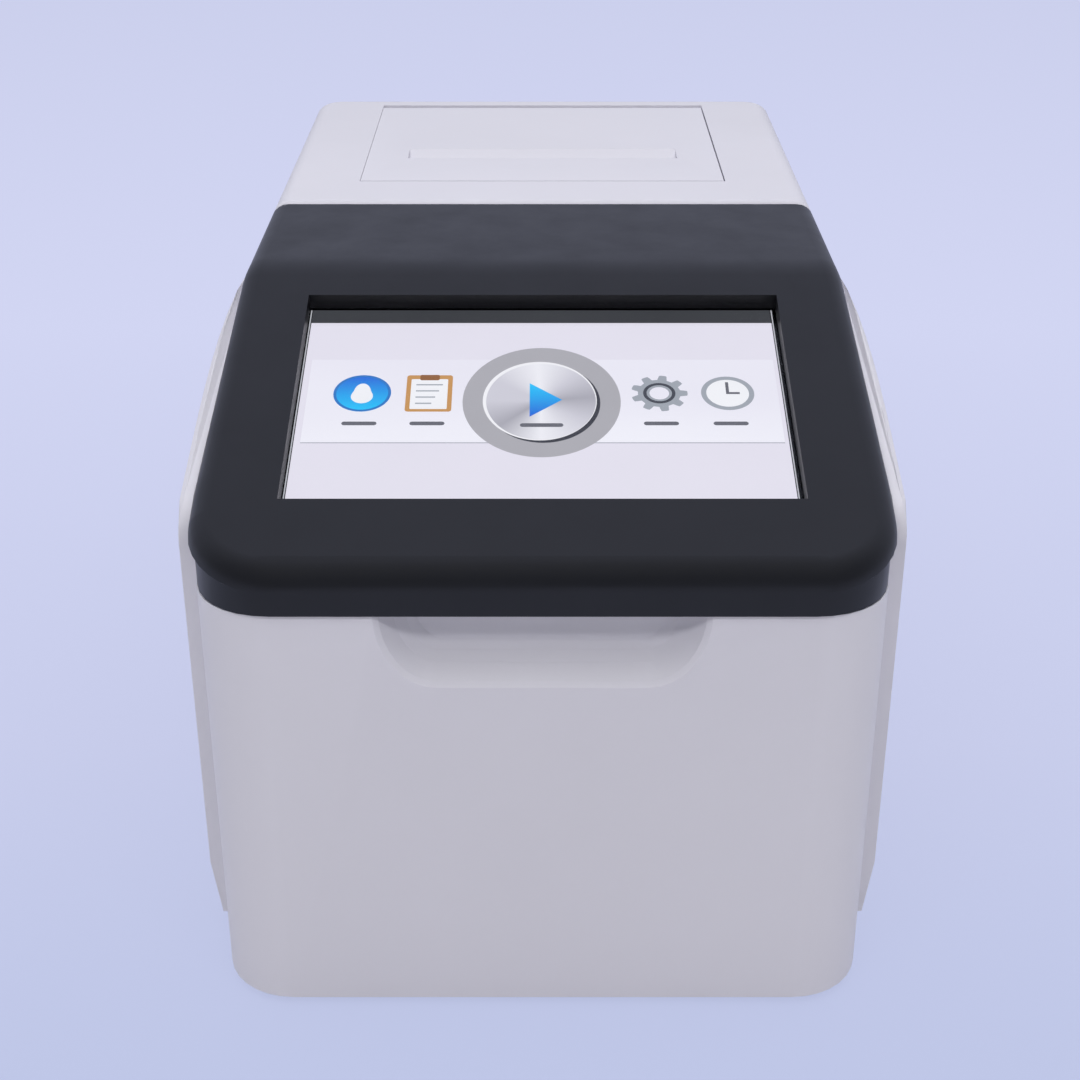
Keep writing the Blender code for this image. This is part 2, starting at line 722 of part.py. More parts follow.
def make_lower_housing():
    outline = half_outline(HOUSING_HALF_WIDTH, FRONT_Y, REAR_Y, FRONT_CORNER_RADIUS, REAR_CORNER_RADIUS,
                           edge_stations())
    shell = mirrored_loft(flat_rings(outline, (lambda y: FOOT_DROP, housing_edge)))
    housing = add_object("lower_housing", finish_mesh("lower_housing", shell), WHITE_PLASTIC)

    inner = half_outline(HOUSING_HALF_WIDTH, FRONT_Y, REAR_Y, FRONT_CORNER_RADIUS, REAR_CORNER_RADIUS,
                         edge_stations(), WALL)
    hollow = mirrored_loft(flat_rings(inner, (lambda y: FOOT_DROP - OVERRUN,
                                              lambda y: TOP_HEIGHT + OVERRUN)))
    cut(housing, cutter("housing_hollow", hollow))

    recess_half = RECESS_FLAT_HALF + RECESS_CORNER_X + RECESS_WALL
    recess_floor = LID_CHIN_HEIGHT - RECESS_CORNER_Z - RECESS_WALL
    block = box_bmesh((-recess_half, FRONT_Y + WALL / 2, recess_floor),
                      (recess_half, FRONT_Y + RECESS_DEPTH + RECESS_WALL, LID_CHIN_HEIGHT - PARTING_GAP))
    join(housing, cutter("recess_block", block))

    sections = [recess_section(FRONT_Y + RECESS_DEPTH * depth, inset, TOP_HEIGHT)
                for depth, inset in zip(RECESS_DEPTH_SHARES, RECESS_INSET_SHARES)]
    cut(housing, cutter("finger_recess", section_loft(sections)))

    ledges = []
    for side in (-1, 1):
        xs = sorted((side * (INNER_HALF_WIDTH - LEDGE_WIDTH), side * (INNER_HALF_WIDTH + WALL / 2)))
        top = DECK_TOP - DECK_THICKNESS - SEAT_GAP
        ledges.append(((xs[0], FRONT_Y + LEDGE_START_FROM_FRONT, top - LEDGE_HEIGHT),
                       (xs[1], LID_END_Y - LEDGE_END_TO_LID_END, top)))
    join(housing, cutter("deck_ledges", boxes_bmesh(ledges)))

    window = box_bmesh((-PANEL_HALF_WIDTH, REAR_Y - WALL - OVERRUN, PANEL_BOTTOM),
                       (PANEL_HALF_WIDTH, REAR_Y + OVERRUN, PANEL_TOP))
    cut(housing, cutter("panel_window", window))

    relief = box_bmesh((-HOUSING_HALF_WIDTH - OVERRUN, COVER_FRONT_Y - RELIEF_LENGTH,
                        TOP_HEIGHT - CAP_DROP - RELIEF_DEPTH),
                       (HOUSING_HALF_WIDTH + OVERRUN, COVER_FRONT_Y, TOP_HEIGHT + OVERRUN))
    cut(housing, cutter("hinge_relief", relief))


def side_cover_outline():
    """Plan outline of a side cover: square in front, dying into the wall at the fold."""
    inner = HOUSING_HALF_WIDTH + SIDE_COVER_GAP
    start, end = FRONT_Y + SIDE_COVER_START, FRONT_Y + SIDE_COVER_END
    points = [(inner, start)]
    for step in range(SIDE_COVER_STATIONS + 1):
        share = step / SIDE_COVER_STATIONS
        bulge = SIDE_COVER_BULGE * max(1 - share ** SIDE_COVER_FORM, SIDE_COVER_END_SHARE)
        points.append((inner + bulge, start + (end - start) * share))
    points.append((inner, end))
    return points


def make_side_cover(name, side):
    inner = HOUSING_HALF_WIDTH + SIDE_COVER_GAP
    drop = CAP_DROP + PARTING_GAP
    levels = (
        (SIDE_COVER_BOTTOM_SHARE, lambda y: SIDE_COVER_BOTTOM),
        (1.0, lambda y: SIDE_COVER_BOTTOM + SIDE_COVER_LOWER_TAPER),
        (1.0, lambda y: lid_surface(y) - drop - SIDE_COVER_TOP_TAPER),
        (SIDE_COVER_TOP_SHARE, lambda y: lid_surface(y) - drop),
    )
    outline = side_cover_outline()
    front = FRONT_Y + SIDE_COVER_START
    sections = []
    for share, height in levels:
        lean = SIDE_COVER_FRONT_LEAN * share
        ring = []
        for x, y in outline:
            shift = lean * (x - inner) / SIDE_COVER_BULGE if y == front else 0.0
            ring.append((side * (inner + (x - inner) * share), y + shift, height(y)))
        sections.append(ring)
    mesh = finish_mesh(name, section_loft(sections))
    add_object(name, mesh, WHITE_PLASTIC)


def lid_slope(y):
    """The lid's sloped face carried on as a flat plane."""
    return TOP_HEIGHT + SLOPE * (y - FOLD_Y)


def make_rear_cover():
    def rings(inset, bottom):
        return domed_rings(COVER_HALF_WIDTH - inset, COVER_FRONT_Y - OVERRUN * 3, REAR_Y - inset,
                           REAR_CORNER_RADIUS - inset, REAR_CORNER_RADIUS - inset, (), bottom,
                           lambda y: TOP_HEIGHT - inset, EDGE_FILLET - inset)

    base = TOP_HEIGHT - CAP_DROP
    shell = mirrored_loft(rings(0.0, lambda y: base))
    trim(shell, COVER_FRONT_Y, keep_front=False)
    round_rim(shell, COVER_FRONT_Y, base, COVER_LIP_ROUND)
    cover = add_object("rear_cover", finish_mesh("rear_cover", shell), WHITE_PLASTIC)

    hollow = mirrored_loft(rings(WALL, lambda y: base - OVERRUN))
    trim(hollow, COVER_FRONT_Y + WALL, keep_front=False)
    cut(cover, cutter("rear_cover_hollow", hollow))

    mouth = box_bmesh((-DOOR_HALF_WIDTH - DOOR_SEAM, DOOR_FRONT_Y - DOOR_SEAM,
                       TOP_HEIGHT - OVERRUN),
                      (DOOR_HALF_WIDTH + DOOR_SEAM, DOOR_REAR_Y + DOOR_SEAM,
                       TOP_HEIGHT + OVERRUN))
    cut(cover, cutter("door_mouth", mouth))


def make_base_plate():
    low = FOOT_DROP + BASE_RECESS
    inset = WALL + SEAT_GAP
    outline = half_outline(HOUSING_HALF_WIDTH, FRONT_Y, REAR_Y, FRONT_CORNER_RADIUS, REAR_CORNER_RADIUS,
                           (), inset)
    plate = mirrored_loft(flat_rings(outline, (lambda y: low, lambda y: low + BASE_THICKNESS)))
    base = add_object("base_plate", finish_mesh("base_plate", plate, smooth=False), STEEL)

    posts = bmesh.new()
    for x in (STANDOFF_INSET - BOARD_HALF_WIDTH, BOARD_HALF_WIDTH - STANDOFF_INSET):
        for y in (board_start() + STANDOFF_INSET, board_start() + BOARD_LENGTH - STANDOFF_INSET):
            rod_bmesh(STANDOFF_RADIUS, (x, y, low + BASE_THICKNESS / 2), (x, y, BOARD_HEIGHT - SEAT_GAP),
                      12, posts)
    join(base, cutter("board_standoffs", posts))

    slots = []
    for index in range(VENT_COUNT):
        y = FRONT_Y + BASE_VENT_FROM_FRONT + VENT_PITCH * (index - (VENT_COUNT - 1) / 2)
        for x in (-VENT_COLUMN_X, VENT_COLUMN_X):
            slots.append(((x - VENT_LENGTH / 2, y - VENT_WIDTH / 2, low - OVERRUN),
                          (x + VENT_LENGTH / 2, y + VENT_WIDTH / 2, low + OVERRUN)))
    cut(base, cutter("base_vents", boxes_bmesh(slots)))


def board_start():
    return REAR_Y - WALL - BOARD_REAR_GAP - BOARD_LENGTH


def make_feet():
    top = FOOT_DROP + BASE_RECESS - SEAT_GAP
    places = {
        "foot_front_left": (-1, FRONT_Y + FOOT_INSET_FRONT),
              "foot_front_right": (1, FRONT_Y + FOOT_INSET_FRONT),
        "foot_rear_left": (-1, REAR_Y - FOOT_INSET_REAR), "foot_rear_right": (1, REAR_Y - FOOT_INSET_REAR),
    }
    edge = (FOOT_RADIUS - FOOT_TOP_RADIUS) / 2
    for name, (side, y) in places.items():
        profile = [(0.0, top), (FOOT_TOP_RADIUS, top), (FOOT_RADIUS, edge), (FOOT_RADIUS - edge, 0.0),
                   (0.0, 0.0)]
        turned(name, profile, RUBBER, place=(side * (HOUSING_HALF_WIDTH - FOOT_INSET_X), y, 0.0), steps=20)


def make_rear_panel():
    outer = REAR_Y - SEAT_GAP
    plate = part_box("rear_panel",
                     (-PANEL_HALF_WIDTH + SEAT_GAP, outer - PANEL_PLATE, PANEL_BOTTOM + SEAT_GAP),
                     (PANEL_HALF_WIDTH - SEAT_GAP, outer, PANEL_TOP - SEAT_GAP), GREY_PLASTIC)
    back, front = outer - OVERRUN, outer + OVERRUN
    gap = SEAT_GAP
    holes = []
    reach = FAN_BORE_RADIUS
    for index in range(GRILLE_COUNT):
        rise = GRILLE_PITCH * (index - (GRILLE_COUNT - 1) / 2)
        half = math.sqrt(reach ** 2 - rise ** 2)
        holes.append(((FAN_X - half, back, FAN_Z + rise - GRILLE_SLOT / 2),
                      (FAN_X + half, front, FAN_Z + rise + GRILLE_SLOT / 2)))
    base = BOARD_HEIGHT + BOARD_THICKNESS + SEAT_GAP
    for x, width, height in ((INLET_X, INLET_WIDTH, INLET_HEIGHT), (USB_X, USB_WIDTH, USB_HEIGHT),
                             (LAN_X, LAN_WIDTH, LAN_HEIGHT)):
        holes.append(((x - width / 2 - gap, back, base - gap),
                      (x + width / 2 + gap, front, base + height + gap)))
    half_w = SWITCH_BEZEL_WIDTH / 2 - SWITCH_FRAME + gap
    half_h = SWITCH_BEZEL_HEIGHT / 2 - SWITCH_FRAME + gap
    holes.append(((SWITCH_PANEL_X - half_w, back, SWITCH_PANEL_Z - half_h),
                  (SWITCH_PANEL_X + half_w, front, SWITCH_PANEL_Z + half_h)))
    cut(plate, cutter("panel_holes", boxes_bmesh(holes)))


def make_sockets():
    base = BOARD_HEIGHT + BOARD_THICKNESS + SEAT_GAP
    end = REAR_Y - SEAT_GAP
    over = OVERRUN

    inlet = part_box("power_inlet", (INLET_X - INLET_WIDTH / 2, end - INLET_LENGTH, base),
                     (INLET_X + INLET_WIDTH / 2, end, base + INLET_HEIGHT), BLACK_PLASTIC)
    middle = base + INLET_HEIGHT / 2
    floor = end - INLET_BORE_DEPTH
    cut(inlet, cutter("inlet_bore", rod_bmesh(INLET_BORE_RADIUS, (INLET_X, floor, middle),
                                              (INLET_X, end + over, middle), 20)))
    join(inlet, cutter("inlet_pin", rod_bmesh(INLET_PIN_RADIUS, (INLET_X, floor - SEAT_GAP * 2, middle),
                                              (INLET_X, end - INLET_PIN_RADIUS, middle), 10)))

    usb = part_box("usb_socket", (USB_X - USB_WIDTH / 2, end - USB_LENGTH, base),
                   (USB_X + USB_WIDTH / 2, end, base + USB_HEIGHT), STEEL)
    mouths = []
    for share in USB_MOUTH_SHARES:
        z = base + USB_HEIGHT * share
        mouths.append(((USB_X - USB_MOUTH_WIDTH / 2, end - USB_MOUTH_DEPTH, z - USB_MOUTH_HEIGHT / 2),
                       (USB_X + USB_MOUTH_WIDTH / 2, end + over, z + USB_MOUTH_HEIGHT / 2)))
    cut(usb, cutter("usb_mouths", boxes_bmesh(mouths)))

    lan = part_box("lan_socket", (LAN_X - LAN_WIDTH / 2, end - LAN_LENGTH, base),
                   (LAN_X + LAN_WIDTH / 2, end, base + LAN_HEIGHT), STEEL)
    z = base + LAN_HEIGHT / 2
    mouth = boxes_bmesh([((LAN_X - LAN_MOUTH_WIDTH / 2, end - LAN_MOUTH_DEPTH, z - LAN_MOUTH_HEIGHT / 2),
                          (LAN_X + LAN_MOUTH_WIDTH / 2, end + over, z + LAN_MOUTH_HEIGHT / 2))])
    cut(lan, cutter("lan_mouth", mouth))


def make_power_switch():
    outer = REAR_Y
    plate = outer - SEAT_GAP - PANEL_PLATE
    half_w, half_h = SWITCH_BEZEL_WIDTH / 2, SWITCH_BEZEL_HEIGHT / 2
    x, z, rim = SWITCH_PANEL_X, SWITCH_PANEL_Z, SWITCH_FRAME
    body = part_box("switch_frame", (x - half_w + rim, outer - SWITCH_BODY_DEPTH, z - half_h + rim),
                    (x + half_w - rim, outer - SEAT_GAP, z + half_h - rim), BLACK_PLASTIC)
    window = box_bmesh((x - half_w + 2 * rim, plate - ROCKER_THICKNESS - ROCKER_GAP, z - half_h + 2 * rim),
                       (x + half_w - 2 * rim, outer + OVERRUN, z + half_h - 2 * rim))
    cut(body, cutter("switch_window", window))

    axis_y = outer - SEAT_GAP - ROCKER_THICKNESS / 2
    pivot = add_pivot("rocker_axis", (x, axis_y, z))
    half = half_h - 2 * rim - ROCKER_GAP
    wide = half_w - 2 * rim - ROCKER_GAP
    rise = math.tan(ROCKER_ANGLE) * half
    face = ROCKER_THICKNESS / 2 - SEAT_GAP - rise
    depth = -ROCKER_THICKNESS / 2
    section = [(depth, -half + rise), (depth, half - rise), (face - rise, half), (face, 0.0),
               (face + rise, -half)]
    rings = [[(side * wide, y, height) for y, height in section] for side in (-1, 1)]
    mesh = finish_mesh("power_switch", section_loft(rings), smooth=False)
    add_object("power_switch", mesh, BLACK_PLASTIC, pivot)


def make_fan():
    front = REAR_Y - SEAT_GAP - PANEL_PLATE - SEAT_GAP
    half = FAN_SIZE / 2
    frame = part_box("fan_frame", (FAN_X - half, front - FAN_DEPTH, FAN_Z - half),
                     (FAN_X + half, front, FAN_Z + half), BLACK_PLASTIC)
    bore = rod_bmesh(FAN_BORE_RADIUS, (FAN_X, front - FAN_DEPTH - OVERRUN, FAN_Z),
                     (FAN_X, front + OVERRUN, FAN_Z))
    cut(frame, cutter("fan_bore", bore))
    inner = front - FAN_DEPTH
    spider = rod_bmesh(FAN_HUB_RADIUS, (FAN_X, inner, FAN_Z), (FAN_X, inner + FAN_PLATE, FAN_Z), 20)
    join(frame, cutter("fan_hub_plate", spider))
    reach = FAN_BORE_RADIUS + FAN_STRUT / 2
    half_strut = FAN_STRUT / 2
    strut_end = inner + FAN_PLATE * STRUT_SHARE
    level = box_bmesh((FAN_X - reach, inner, FAN_Z - half_strut),
                      (FAN_X + reach, strut_end, FAN_Z + half_strut))
    join(frame, cutter("fan_strut_level", level))
    upright = box_bmesh((FAN_X - half_strut, inner, FAN_Z - reach),
                        (FAN_X + half_strut, strut_end, FAN_Z + reach))
    join(frame, cutter("fan_strut_upright", upright))

    pivot = add_pivot("fan_axis", (FAN_X, inner + FAN_DEPTH / 2, FAN_Z))
    near = -FAN_DEPTH / 2 + FAN_PLATE + SEAT_GAP
    far = FAN_DEPTH / 2 - FAN_TIP_GAP
    rotor = add_object("fan_rotor", finish_mesh("fan_rotor", rod_bmesh(
        FAN_HUB_RADIUS, (0.0, near, 0.0), (0.0, far, 0.0), 20)), BLACK_PLASTIC, pivot)
    blades = bmesh.new()
    span_low, span_high = FAN_HUB_RADIUS - FAN_BLADE_ROOT, FAN_BORE_RADIUS - FAN_TIP_GAP
    for index in range(FAN_BLADE_COUNT):
        turn = Matrix.Rotation(math.tau * index / FAN_BLADE_COUNT, 4, "Y")
        pitch = Matrix.Rotation(FAN_BLADE_PITCH, 4, "X")
        size = (span_high - span_low, FAN_BLADE_THICKNESS, FAN_BLADE_CHORD)
        matrix = turn @ Matrix.Translation(((span_low + span_high) / 2, (near + far) / 2, 0.0)) @ pitch
        bmesh.ops.create_cube(blades, size=1.0, matrix=matrix @ Matrix.Diagonal((*size, 1.0)))
    join(rotor, cutter("fan_blades", blades, pivot))


def make_deck():
    half = INNER_HALF_WIDTH - DECK_SIDE_CLEARANCE
    front, rear = FRONT_Y + DECK_FRONT_FROM_FRONT, COVER_FRONT_Y + BULKHEAD_GAP + BULKHEAD_THICKNESS
    low = DECK_TOP - DECK_THICKNESS
    wall_top = TOP_HEIGHT - CAP_DROP - SEAT_GAP
    wall = rear - BULKHEAD_THICKNESS
    section = [(front, low), (rear, low), (rear, wall_top), (wall, wall_top), (wall, DECK_TOP),
               (front, DECK_TOP)]
    rings = [[(side * half, y, z) for y, z in section] for side in (-1, 1)]
    deck = add_object("chamber_deck", finish_mesh("chamber_deck", section_loft(rings), smooth=False),
                      GREY_PLASTIC)
    well = rod_bmesh(WELL_RADIUS, (0.0, CHAMBER_Y, low - OVERRUN), (0.0, CHAMBER_Y, DECK_TOP + OVERRUN), 48)
    cut(deck, cutter("deck_well", well))
    hole = PLUNGER_RADIUS + PLUNGER_CLEARANCE
    y = FRONT_Y + SWITCH_FROM_FRONT
    cut(deck, cutter("plunger_hole", rod_bmesh(hole, (SWITCH_X, y, low - OVERRUN),
                                               (SWITCH_X, y, DECK_TOP + OVERRUN), 16)))


def make_chamber():
    place = (0.0, CHAMBER_Y, 0.0)
    top = DECK_TOP - DECK_THICKNESS - SEAT_GAP
    floor = DECK_TOP - BOWL_DEPTH
    under = floor - BOWL_WALL
    outer = BOWL_RADIUS + BOWL_WALL
    profile = [(BOWL_RADIUS, top), (outer + BOWL_FLANGE, top), (outer + BOWL_FLANGE, top - BOWL_WALL),
               (outer, top - BOWL_WALL), (outer, under), (BOWL_BORE, under), (BOWL_BORE, floor),
               (BOWL_RADIUS, floor)]
    turned("disc_chamber", profile, ALUMINIUM, closed=True, place=place, steps=48)

    seal = ring_profile(SEAL_INNER_RADIUS, SEAL_INNER_RADIUS + SEAL_WIDTH, DECK_TOP + SEAT_GAP,
                        DECK_TOP + SEAT_GAP + SEAL_HEIGHT)
    turned("chamber_seal", seal, RUBBER, closed=True, place=place, steps=48)

    heater_top = under - SEAT_GAP
    turned("heater_ring", ring_profile(HEATER_INNER_RADIUS, HEATER_OUTER_RADIUS,
                                       heater_top - HEATER_THICKNESS,
                                       heater_top), STEEL, closed=True, place=place)

    motor_top = under - SEAT_GAP
    bore = SHAFT_RADIUS + SHAFT_CLEARANCE
    bottom = motor_top - MOTOR_LENGTH
    motor = [(bore, motor_top), (MOTOR_FLANGE_RADIUS, motor_top),
             (MOTOR_FLANGE_RADIUS, motor_top - MOTOR_FLANGE),
             (MOTOR_RADIUS, motor_top - MOTOR_FLANGE), (MOTOR_RADIUS, bottom + MOTOR_BEVEL),
             (MOTOR_RADIUS - MOTOR_BEVEL, bottom), (bore, bottom)]
    turned("spindle_motor", motor, STEEL, closed=True, place=place)

    table_low = floor + TURNTABLE_FLOOR_GAP
    table_top = table_low + TURNTABLE_THICKNESS
    pivot = add_pivot("turntable_axis", (0.0, CHAMBER_Y, table_top))
    rim = TURNTABLE_RIM
    profile = [(0.0, HUB_HEIGHT), (HUB_RADIUS - HUB_CROWN, HUB_HEIGHT),
               (HUB_RADIUS, HUB_HEIGHT - HUB_CROWN),
               (HUB_RADIUS, 0.0), (TURNTABLE_RADIUS - 2 * rim, 0.0), (TURNTABLE_RADIUS - 2 * rim, rim),
               (TURNTABLE_RADIUS, rim), (TURNTABLE_RADIUS, -TURNTABLE_THICKNESS),
               (0.0, -TURNTABLE_THICKNESS)]
    table = turned("turntable", profile, ALUMINIUM, parent=pivot, steps=48)
    pins = bmesh.new()
    for index in range(DRIVE_PIN_COUNT):
        angle = math.tau * index / DRIVE_PIN_COUNT
        x, y = DRIVE_PIN_CIRCLE * math.cos(angle), DRIVE_PIN_CIRCLE * math.sin(angle)
        rod_bmesh(DRIVE_PIN_RADIUS, (x, y, -TURNTABLE_THICKNESS / 2), (x, y, DRIVE_PIN_HEIGHT), 12, pins)
    join(table, cutter("drive_pins", pins, pivot))

    shaft = rod_profile(SHAFT_RADIUS, bottom - table_top, -TURNTABLE_THICKNESS - SEAT_GAP)
    turned("spindle_shaft", shaft, STEEL, parent=pivot, steps=16)


def make_optics():
    top = DECK_TOP - DECK_THICKNESS - SEAT_GAP - BOWL_WALL - SEAT_GAP
    start = OPTICS_START
    y0, y1 = CHAMBER_Y - OPTICS_WIDTH / 2, CHAMBER_Y + OPTICS_WIDTH / 2
    z = top - OPTICS_HEIGHT / 2
    photometer = part_box("photometer_block", (start, y0, top - OPTICS_HEIGHT),
                          (start + OPTICS_LENGTH, y1, top),
                          BLACK_PLASTIC)
    bevel(photometer, OPTICS_BEVEL, 1)
    socket = rod_bmesh(LENS_RADIUS + SEAT_GAP, (start - OVERRUN, CHAMBER_Y, z),
                       (start + LENS_LENGTH, CHAMBER_Y, z), 24)
    cut(photometer, cutter("lens_socket", socket))
    lens = finish_mesh("photometer_lens", rod_bmesh(LENS_RADIUS, (start, CHAMBER_Y, z),
                                                    (start + LENS_LENGTH - SEAT_GAP, CHAMBER_Y, z), 24))
    add_object("photometer_lens", lens, GLASS)

    lamp = part_box("lamp_housing", (-start - OPTICS_LENGTH, y0, top - OPTICS_HEIGHT), (-start, y1, top),
                    ALUMINIUM)
    fins = []
    for index in range(LAMP_FIN_COUNT):
        y = y0 + OPTICS_WIDTH * (index + 0.5) / LAMP_FIN_COUNT
        fins.append(((-start - OPTICS_LENGTH - OVERRUN, y - LAMP_FIN_GAP / 2,
                      top - OPTICS_HEIGHT - OVERRUN),
                     (-start - OPTICS_LENGTH + LAMP_FIN_DEPTH, y + LAMP_FIN_GAP / 2, top + OVERRUN)))
    cut(lamp, cutter("lamp_fins", boxes_bmesh(fins)))


def make_lid_switch():
    y = FRONT_Y + SWITCH_FROM_FRONT
    top = DECK_TOP - DECK_THICKNESS - SEAT_GAP
    body = part_box("lid_switch", (SWITCH_X - SWITCH_WIDTH / 2, y - SWITCH_LENGTH / 2, top - SWITCH_HEIGHT),
                    (SWITCH_X + SWITCH_WIDTH / 2, y + SWITCH_LENGTH / 2, top), BLACK_PLASTIC)
    hole = PLUNGER_RADIUS + PLUNGER_CLEARANCE
    cut(body, cutter("switch_bore", rod_bmesh(hole, (SWITCH_X, y, top - SWITCH_HEIGHT + WALL),
                                              (SWITCH_X, y, top + OVERRUN), 16)))
    tip = TRAY_FLOOR_HEIGHT - SEAT_GAP
    foot = top - PLUNGER_HIDDEN
    turned("switch_plunger", rod_profile(PLUNGER_RADIUS, foot - tip, 0.0, PLUNGER_RADIUS / 3), GREY_PLASTIC,
           place=(SWITCH_X, y, tip), steps=16)


def make_magnets(lid_pivot):
    y = FRONT_Y + MAGNET_FROM_FRONT
    top = TRAY_FLOOR_HEIGHT - SEAT_GAP
    for name, side in (("left", -1), ("right", 1)):
        place = Vector((side * MAGNET_X, y, 0.0))
        turned("lid_magnet_" + name, rod_profile(MAGNET_RADIUS, top - MAGNET_THICKNESS, top,
                                                 MAGNET_RADIUS / 10),
               STEEL, parent=lid_pivot, place=place - lid_pivot.location, steps=20)
        turned("keeper_" + name, rod_profile(KEEPER_RADIUS, DECK_TOP + SEAT_GAP,
                                             top - MAGNET_THICKNESS - MAGNET_GAP),
               STEEL, place=place, steps=20)


def make_screen_bezel(lid_pivot, screen_frame):
    def rings(inset, bottom):
        return domed_rings(LID_HALF_WIDTH - inset, FRONT_Y - LID_PROUD + inset, LID_END_Y + OVERRUN * 4,
                           LID_CORNER_RADIUS - inset, LID_CORNER_RADIUS - inset, edge_stations(), bottom,
                           lambda y: lid_surface(y) - inset, EDGE_FILLET - inset)

    def flared(ring):
        return [(x * (1 + lid_flare(y) / LID_HALF_WIDTH), y, z) for x, y, z in ring]

    origin = lid_pivot.location
    skirt, *edge = rings(0.0, lid_edge)
    ledge = [(x, y, lid_surface(y) - (EDGE_FILLET + CAP_DROP) / 2) for x, y, z in skirt]
    shell = mirrored_loft([skirt, ledge] + [flared(ring) for ring in edge])
    trim(shell, LID_END_Y, keep_front=True)
    round_rim(shell, LID_END_Y, TOP_HEIGHT - CAP_DROP, LID_REAR_ROUND)
    bezel = add_object("screen_bezel", finish_mesh("screen_bezel", shell, origin=origin), DARK_PLASTIC,
                       lid_pivot)
    hollow = mirrored_loft(rings(LID_SKIN, lambda y: lid_edge(y) - OVERRUN))
    cut(bezel, cutter("bezel_hollow", hollow))

    rim_w, rim_l = OPENING_WIDTH / 2 + OPENING_RIM, OPENING_LENGTH / 2 + OPENING_RIM
    rim = box_bmesh((-rim_w, -rim_l, -OPENING_DEPTH), (rim_w, rim_l, -LID_SKIN / 2))
    join(bezel, cutter("opening_rim", rim, screen_frame))
    half_w, half_l = OPENING_WIDTH / 2, OPENING_LENGTH / 2
    opening = box_bmesh((-half_w, -half_l, -OPENING_DEPTH - OVERRUN), (half_w, half_l, OVERRUN))
    cut(bezel, cutter("screen_opening", opening, screen_frame))


def make_display(screen_frame):
    top = -OPENING_DEPTH - SEAT_GAP
    part_box("touch_glass", (-GLASS_WIDTH / 2, -GLASS_LENGTH / 2, top - GLASS_THICKNESS),
             (GLASS_WIDTH / 2, GLASS_LENGTH / 2, top), GLASS, parent=screen_frame)
    top -= GLASS_THICKNESS + SEAT_GAP
    part_box("display_module", (-DISPLAY_WIDTH / 2, -DISPLAY_LENGTH / 2, top - DISPLAY_THICKNESS),
             (DISPLAY_WIDTH / 2, DISPLAY_LENGTH / 2, top), DISPLAY_PANEL, parent=screen_frame)
    top -= DISPLAY_THICKNESS + SEAT_GAP
    half_w, half_l = DISPLAY_WIDTH / 2 + BRACKET_MARGIN, DISPLAY_LENGTH / 2 + BRACKET_MARGIN
    low = top - BRACKET_THICKNESS
    bracket = part_box("display_bracket", (-half_w, -half_l, low), (half_w, half_l, top + BRACKET_LIP),
                       STEEL,
                       parent=screen_frame)
    inner_w, inner_l = half_w - BRACKET_THICKNESS, half_l - BRACKET_THICKNESS
    pocket = box_bmesh((-inner_w, -inner_l, top), (inner_w, inner_l, top + OVERRUN))
    cut(bracket, cutter("bracket_pocket", pocket, screen_frame))
    top = low - SEAT_GAP
    low = top - BOARD_THICKNESS
    board = part_box("display_board", (-DISPLAY_BOARD_WIDTH / 2, -DISPLAY_BOARD_LENGTH / 2, low),
                     (DISPLAY_BOARD_WIDTH / 2, DISPLAY_BOARD_LENGTH / 2, top), CIRCUIT_BOARD,
                     parent=screen_frame)
    chips = []
    for share_x, share_y in DISPLAY_CHIP_SHARES:
        x, y = DISPLAY_BOARD_WIDTH * share_x, DISPLAY_BOARD_LENGTH * share_y
        half = DISPLAY_CHIP_SIZE / 2
        chips.append(((x - half, y - half, low - DISPLAY_CHIP_HEIGHT),
                      (x + half, y + half, low + BOARD_THICKNESS / 2)))
    join(board, cutter("display_chips", boxes_bmesh(chips), screen_frame))


def make_lid_tray(lid_pivot):
    half = INNER_HALF_WIDTH - TRAY_SIDE_CLEARANCE
    front, rear = FRONT_Y + TRAY_FRONT_FROM_FRONT, LID_END_Y - TRAY_REAR_TO_LID_END
    kink = FOLD_Y + (TRAY_FLOOR_HEIGHT + TRAY_DEPTH - TOP_HEIGHT) / SLOPE
    stations = fold_stations() + [kink]
    radius = TRAY_CORNER_RADIUS

    def outline(inset):
        return half_outline(half, front, rear, radius, TRAY_REAR_CORNER, stations, inset)

    shell = mirrored_loft(flat_rings(outline(0.0), (tray_underside, tray_rim)))
    tray = add_object("lid_tray", finish_mesh("lid_tray", shell, origin=lid_pivot.location), GREY_PLASTIC,
                      lid_pivot)
    hollow = mirrored_loft(flat_rings(outline(TRAY_WALL), (lambda y: tray_underside(y) + TRAY_WALL,
                                                           lambda y: lid_surface(y) + OVERRUN)))
    cut(tray, cutter("tray_hollow", hollow))

    for name, side in (("left", -1), ("right", 1)):
        arm_x = arm_center_x()
        xs = sorted((side * (arm_x - ARM_THICKNESS / 2), side * (arm_x + ARM_THICKNESS / 2)))
        root = box_bmesh((xs[0], rear - TRAY_WALL / 2, HINGE_Z - ARM_ROOT),
                         (xs[1], HINGE_Y, HINGE_Z + ARM_RADIUS * ARM_TOP_SHARE))
        join(tray, cutter("arm_root_" + name, root))
        eye = rod_bmesh(ARM_RADIUS, (xs[0], HINGE_Y, HINGE_Z), (xs[1], HINGE_Y, HINGE_Z), 20)
        join(tray, cutter("arm_eye_" + name, eye))
        bore = rod_bmesh(PIN_RADIUS + BORE_CLEARANCE, (xs[0] - OVERRUN, HINGE_Y, HINGE_Z),
                         (xs[1] + OVERRUN, HINGE_Y, HINGE_Z), 16)
        cut(tray, cutter("arm_bore_" + name, bore))


def hinge_wall_x():
    """Outer face of the hinge bracket, against the housing wall."""
    return INNER_HALF_WIDTH - SEAT_GAP


def hinge_ear_x():
    """Outer face of the bracket's ear, stepped in to clear the lid's rounded edge."""
    return hinge_wall_x() - HINGE_JOG


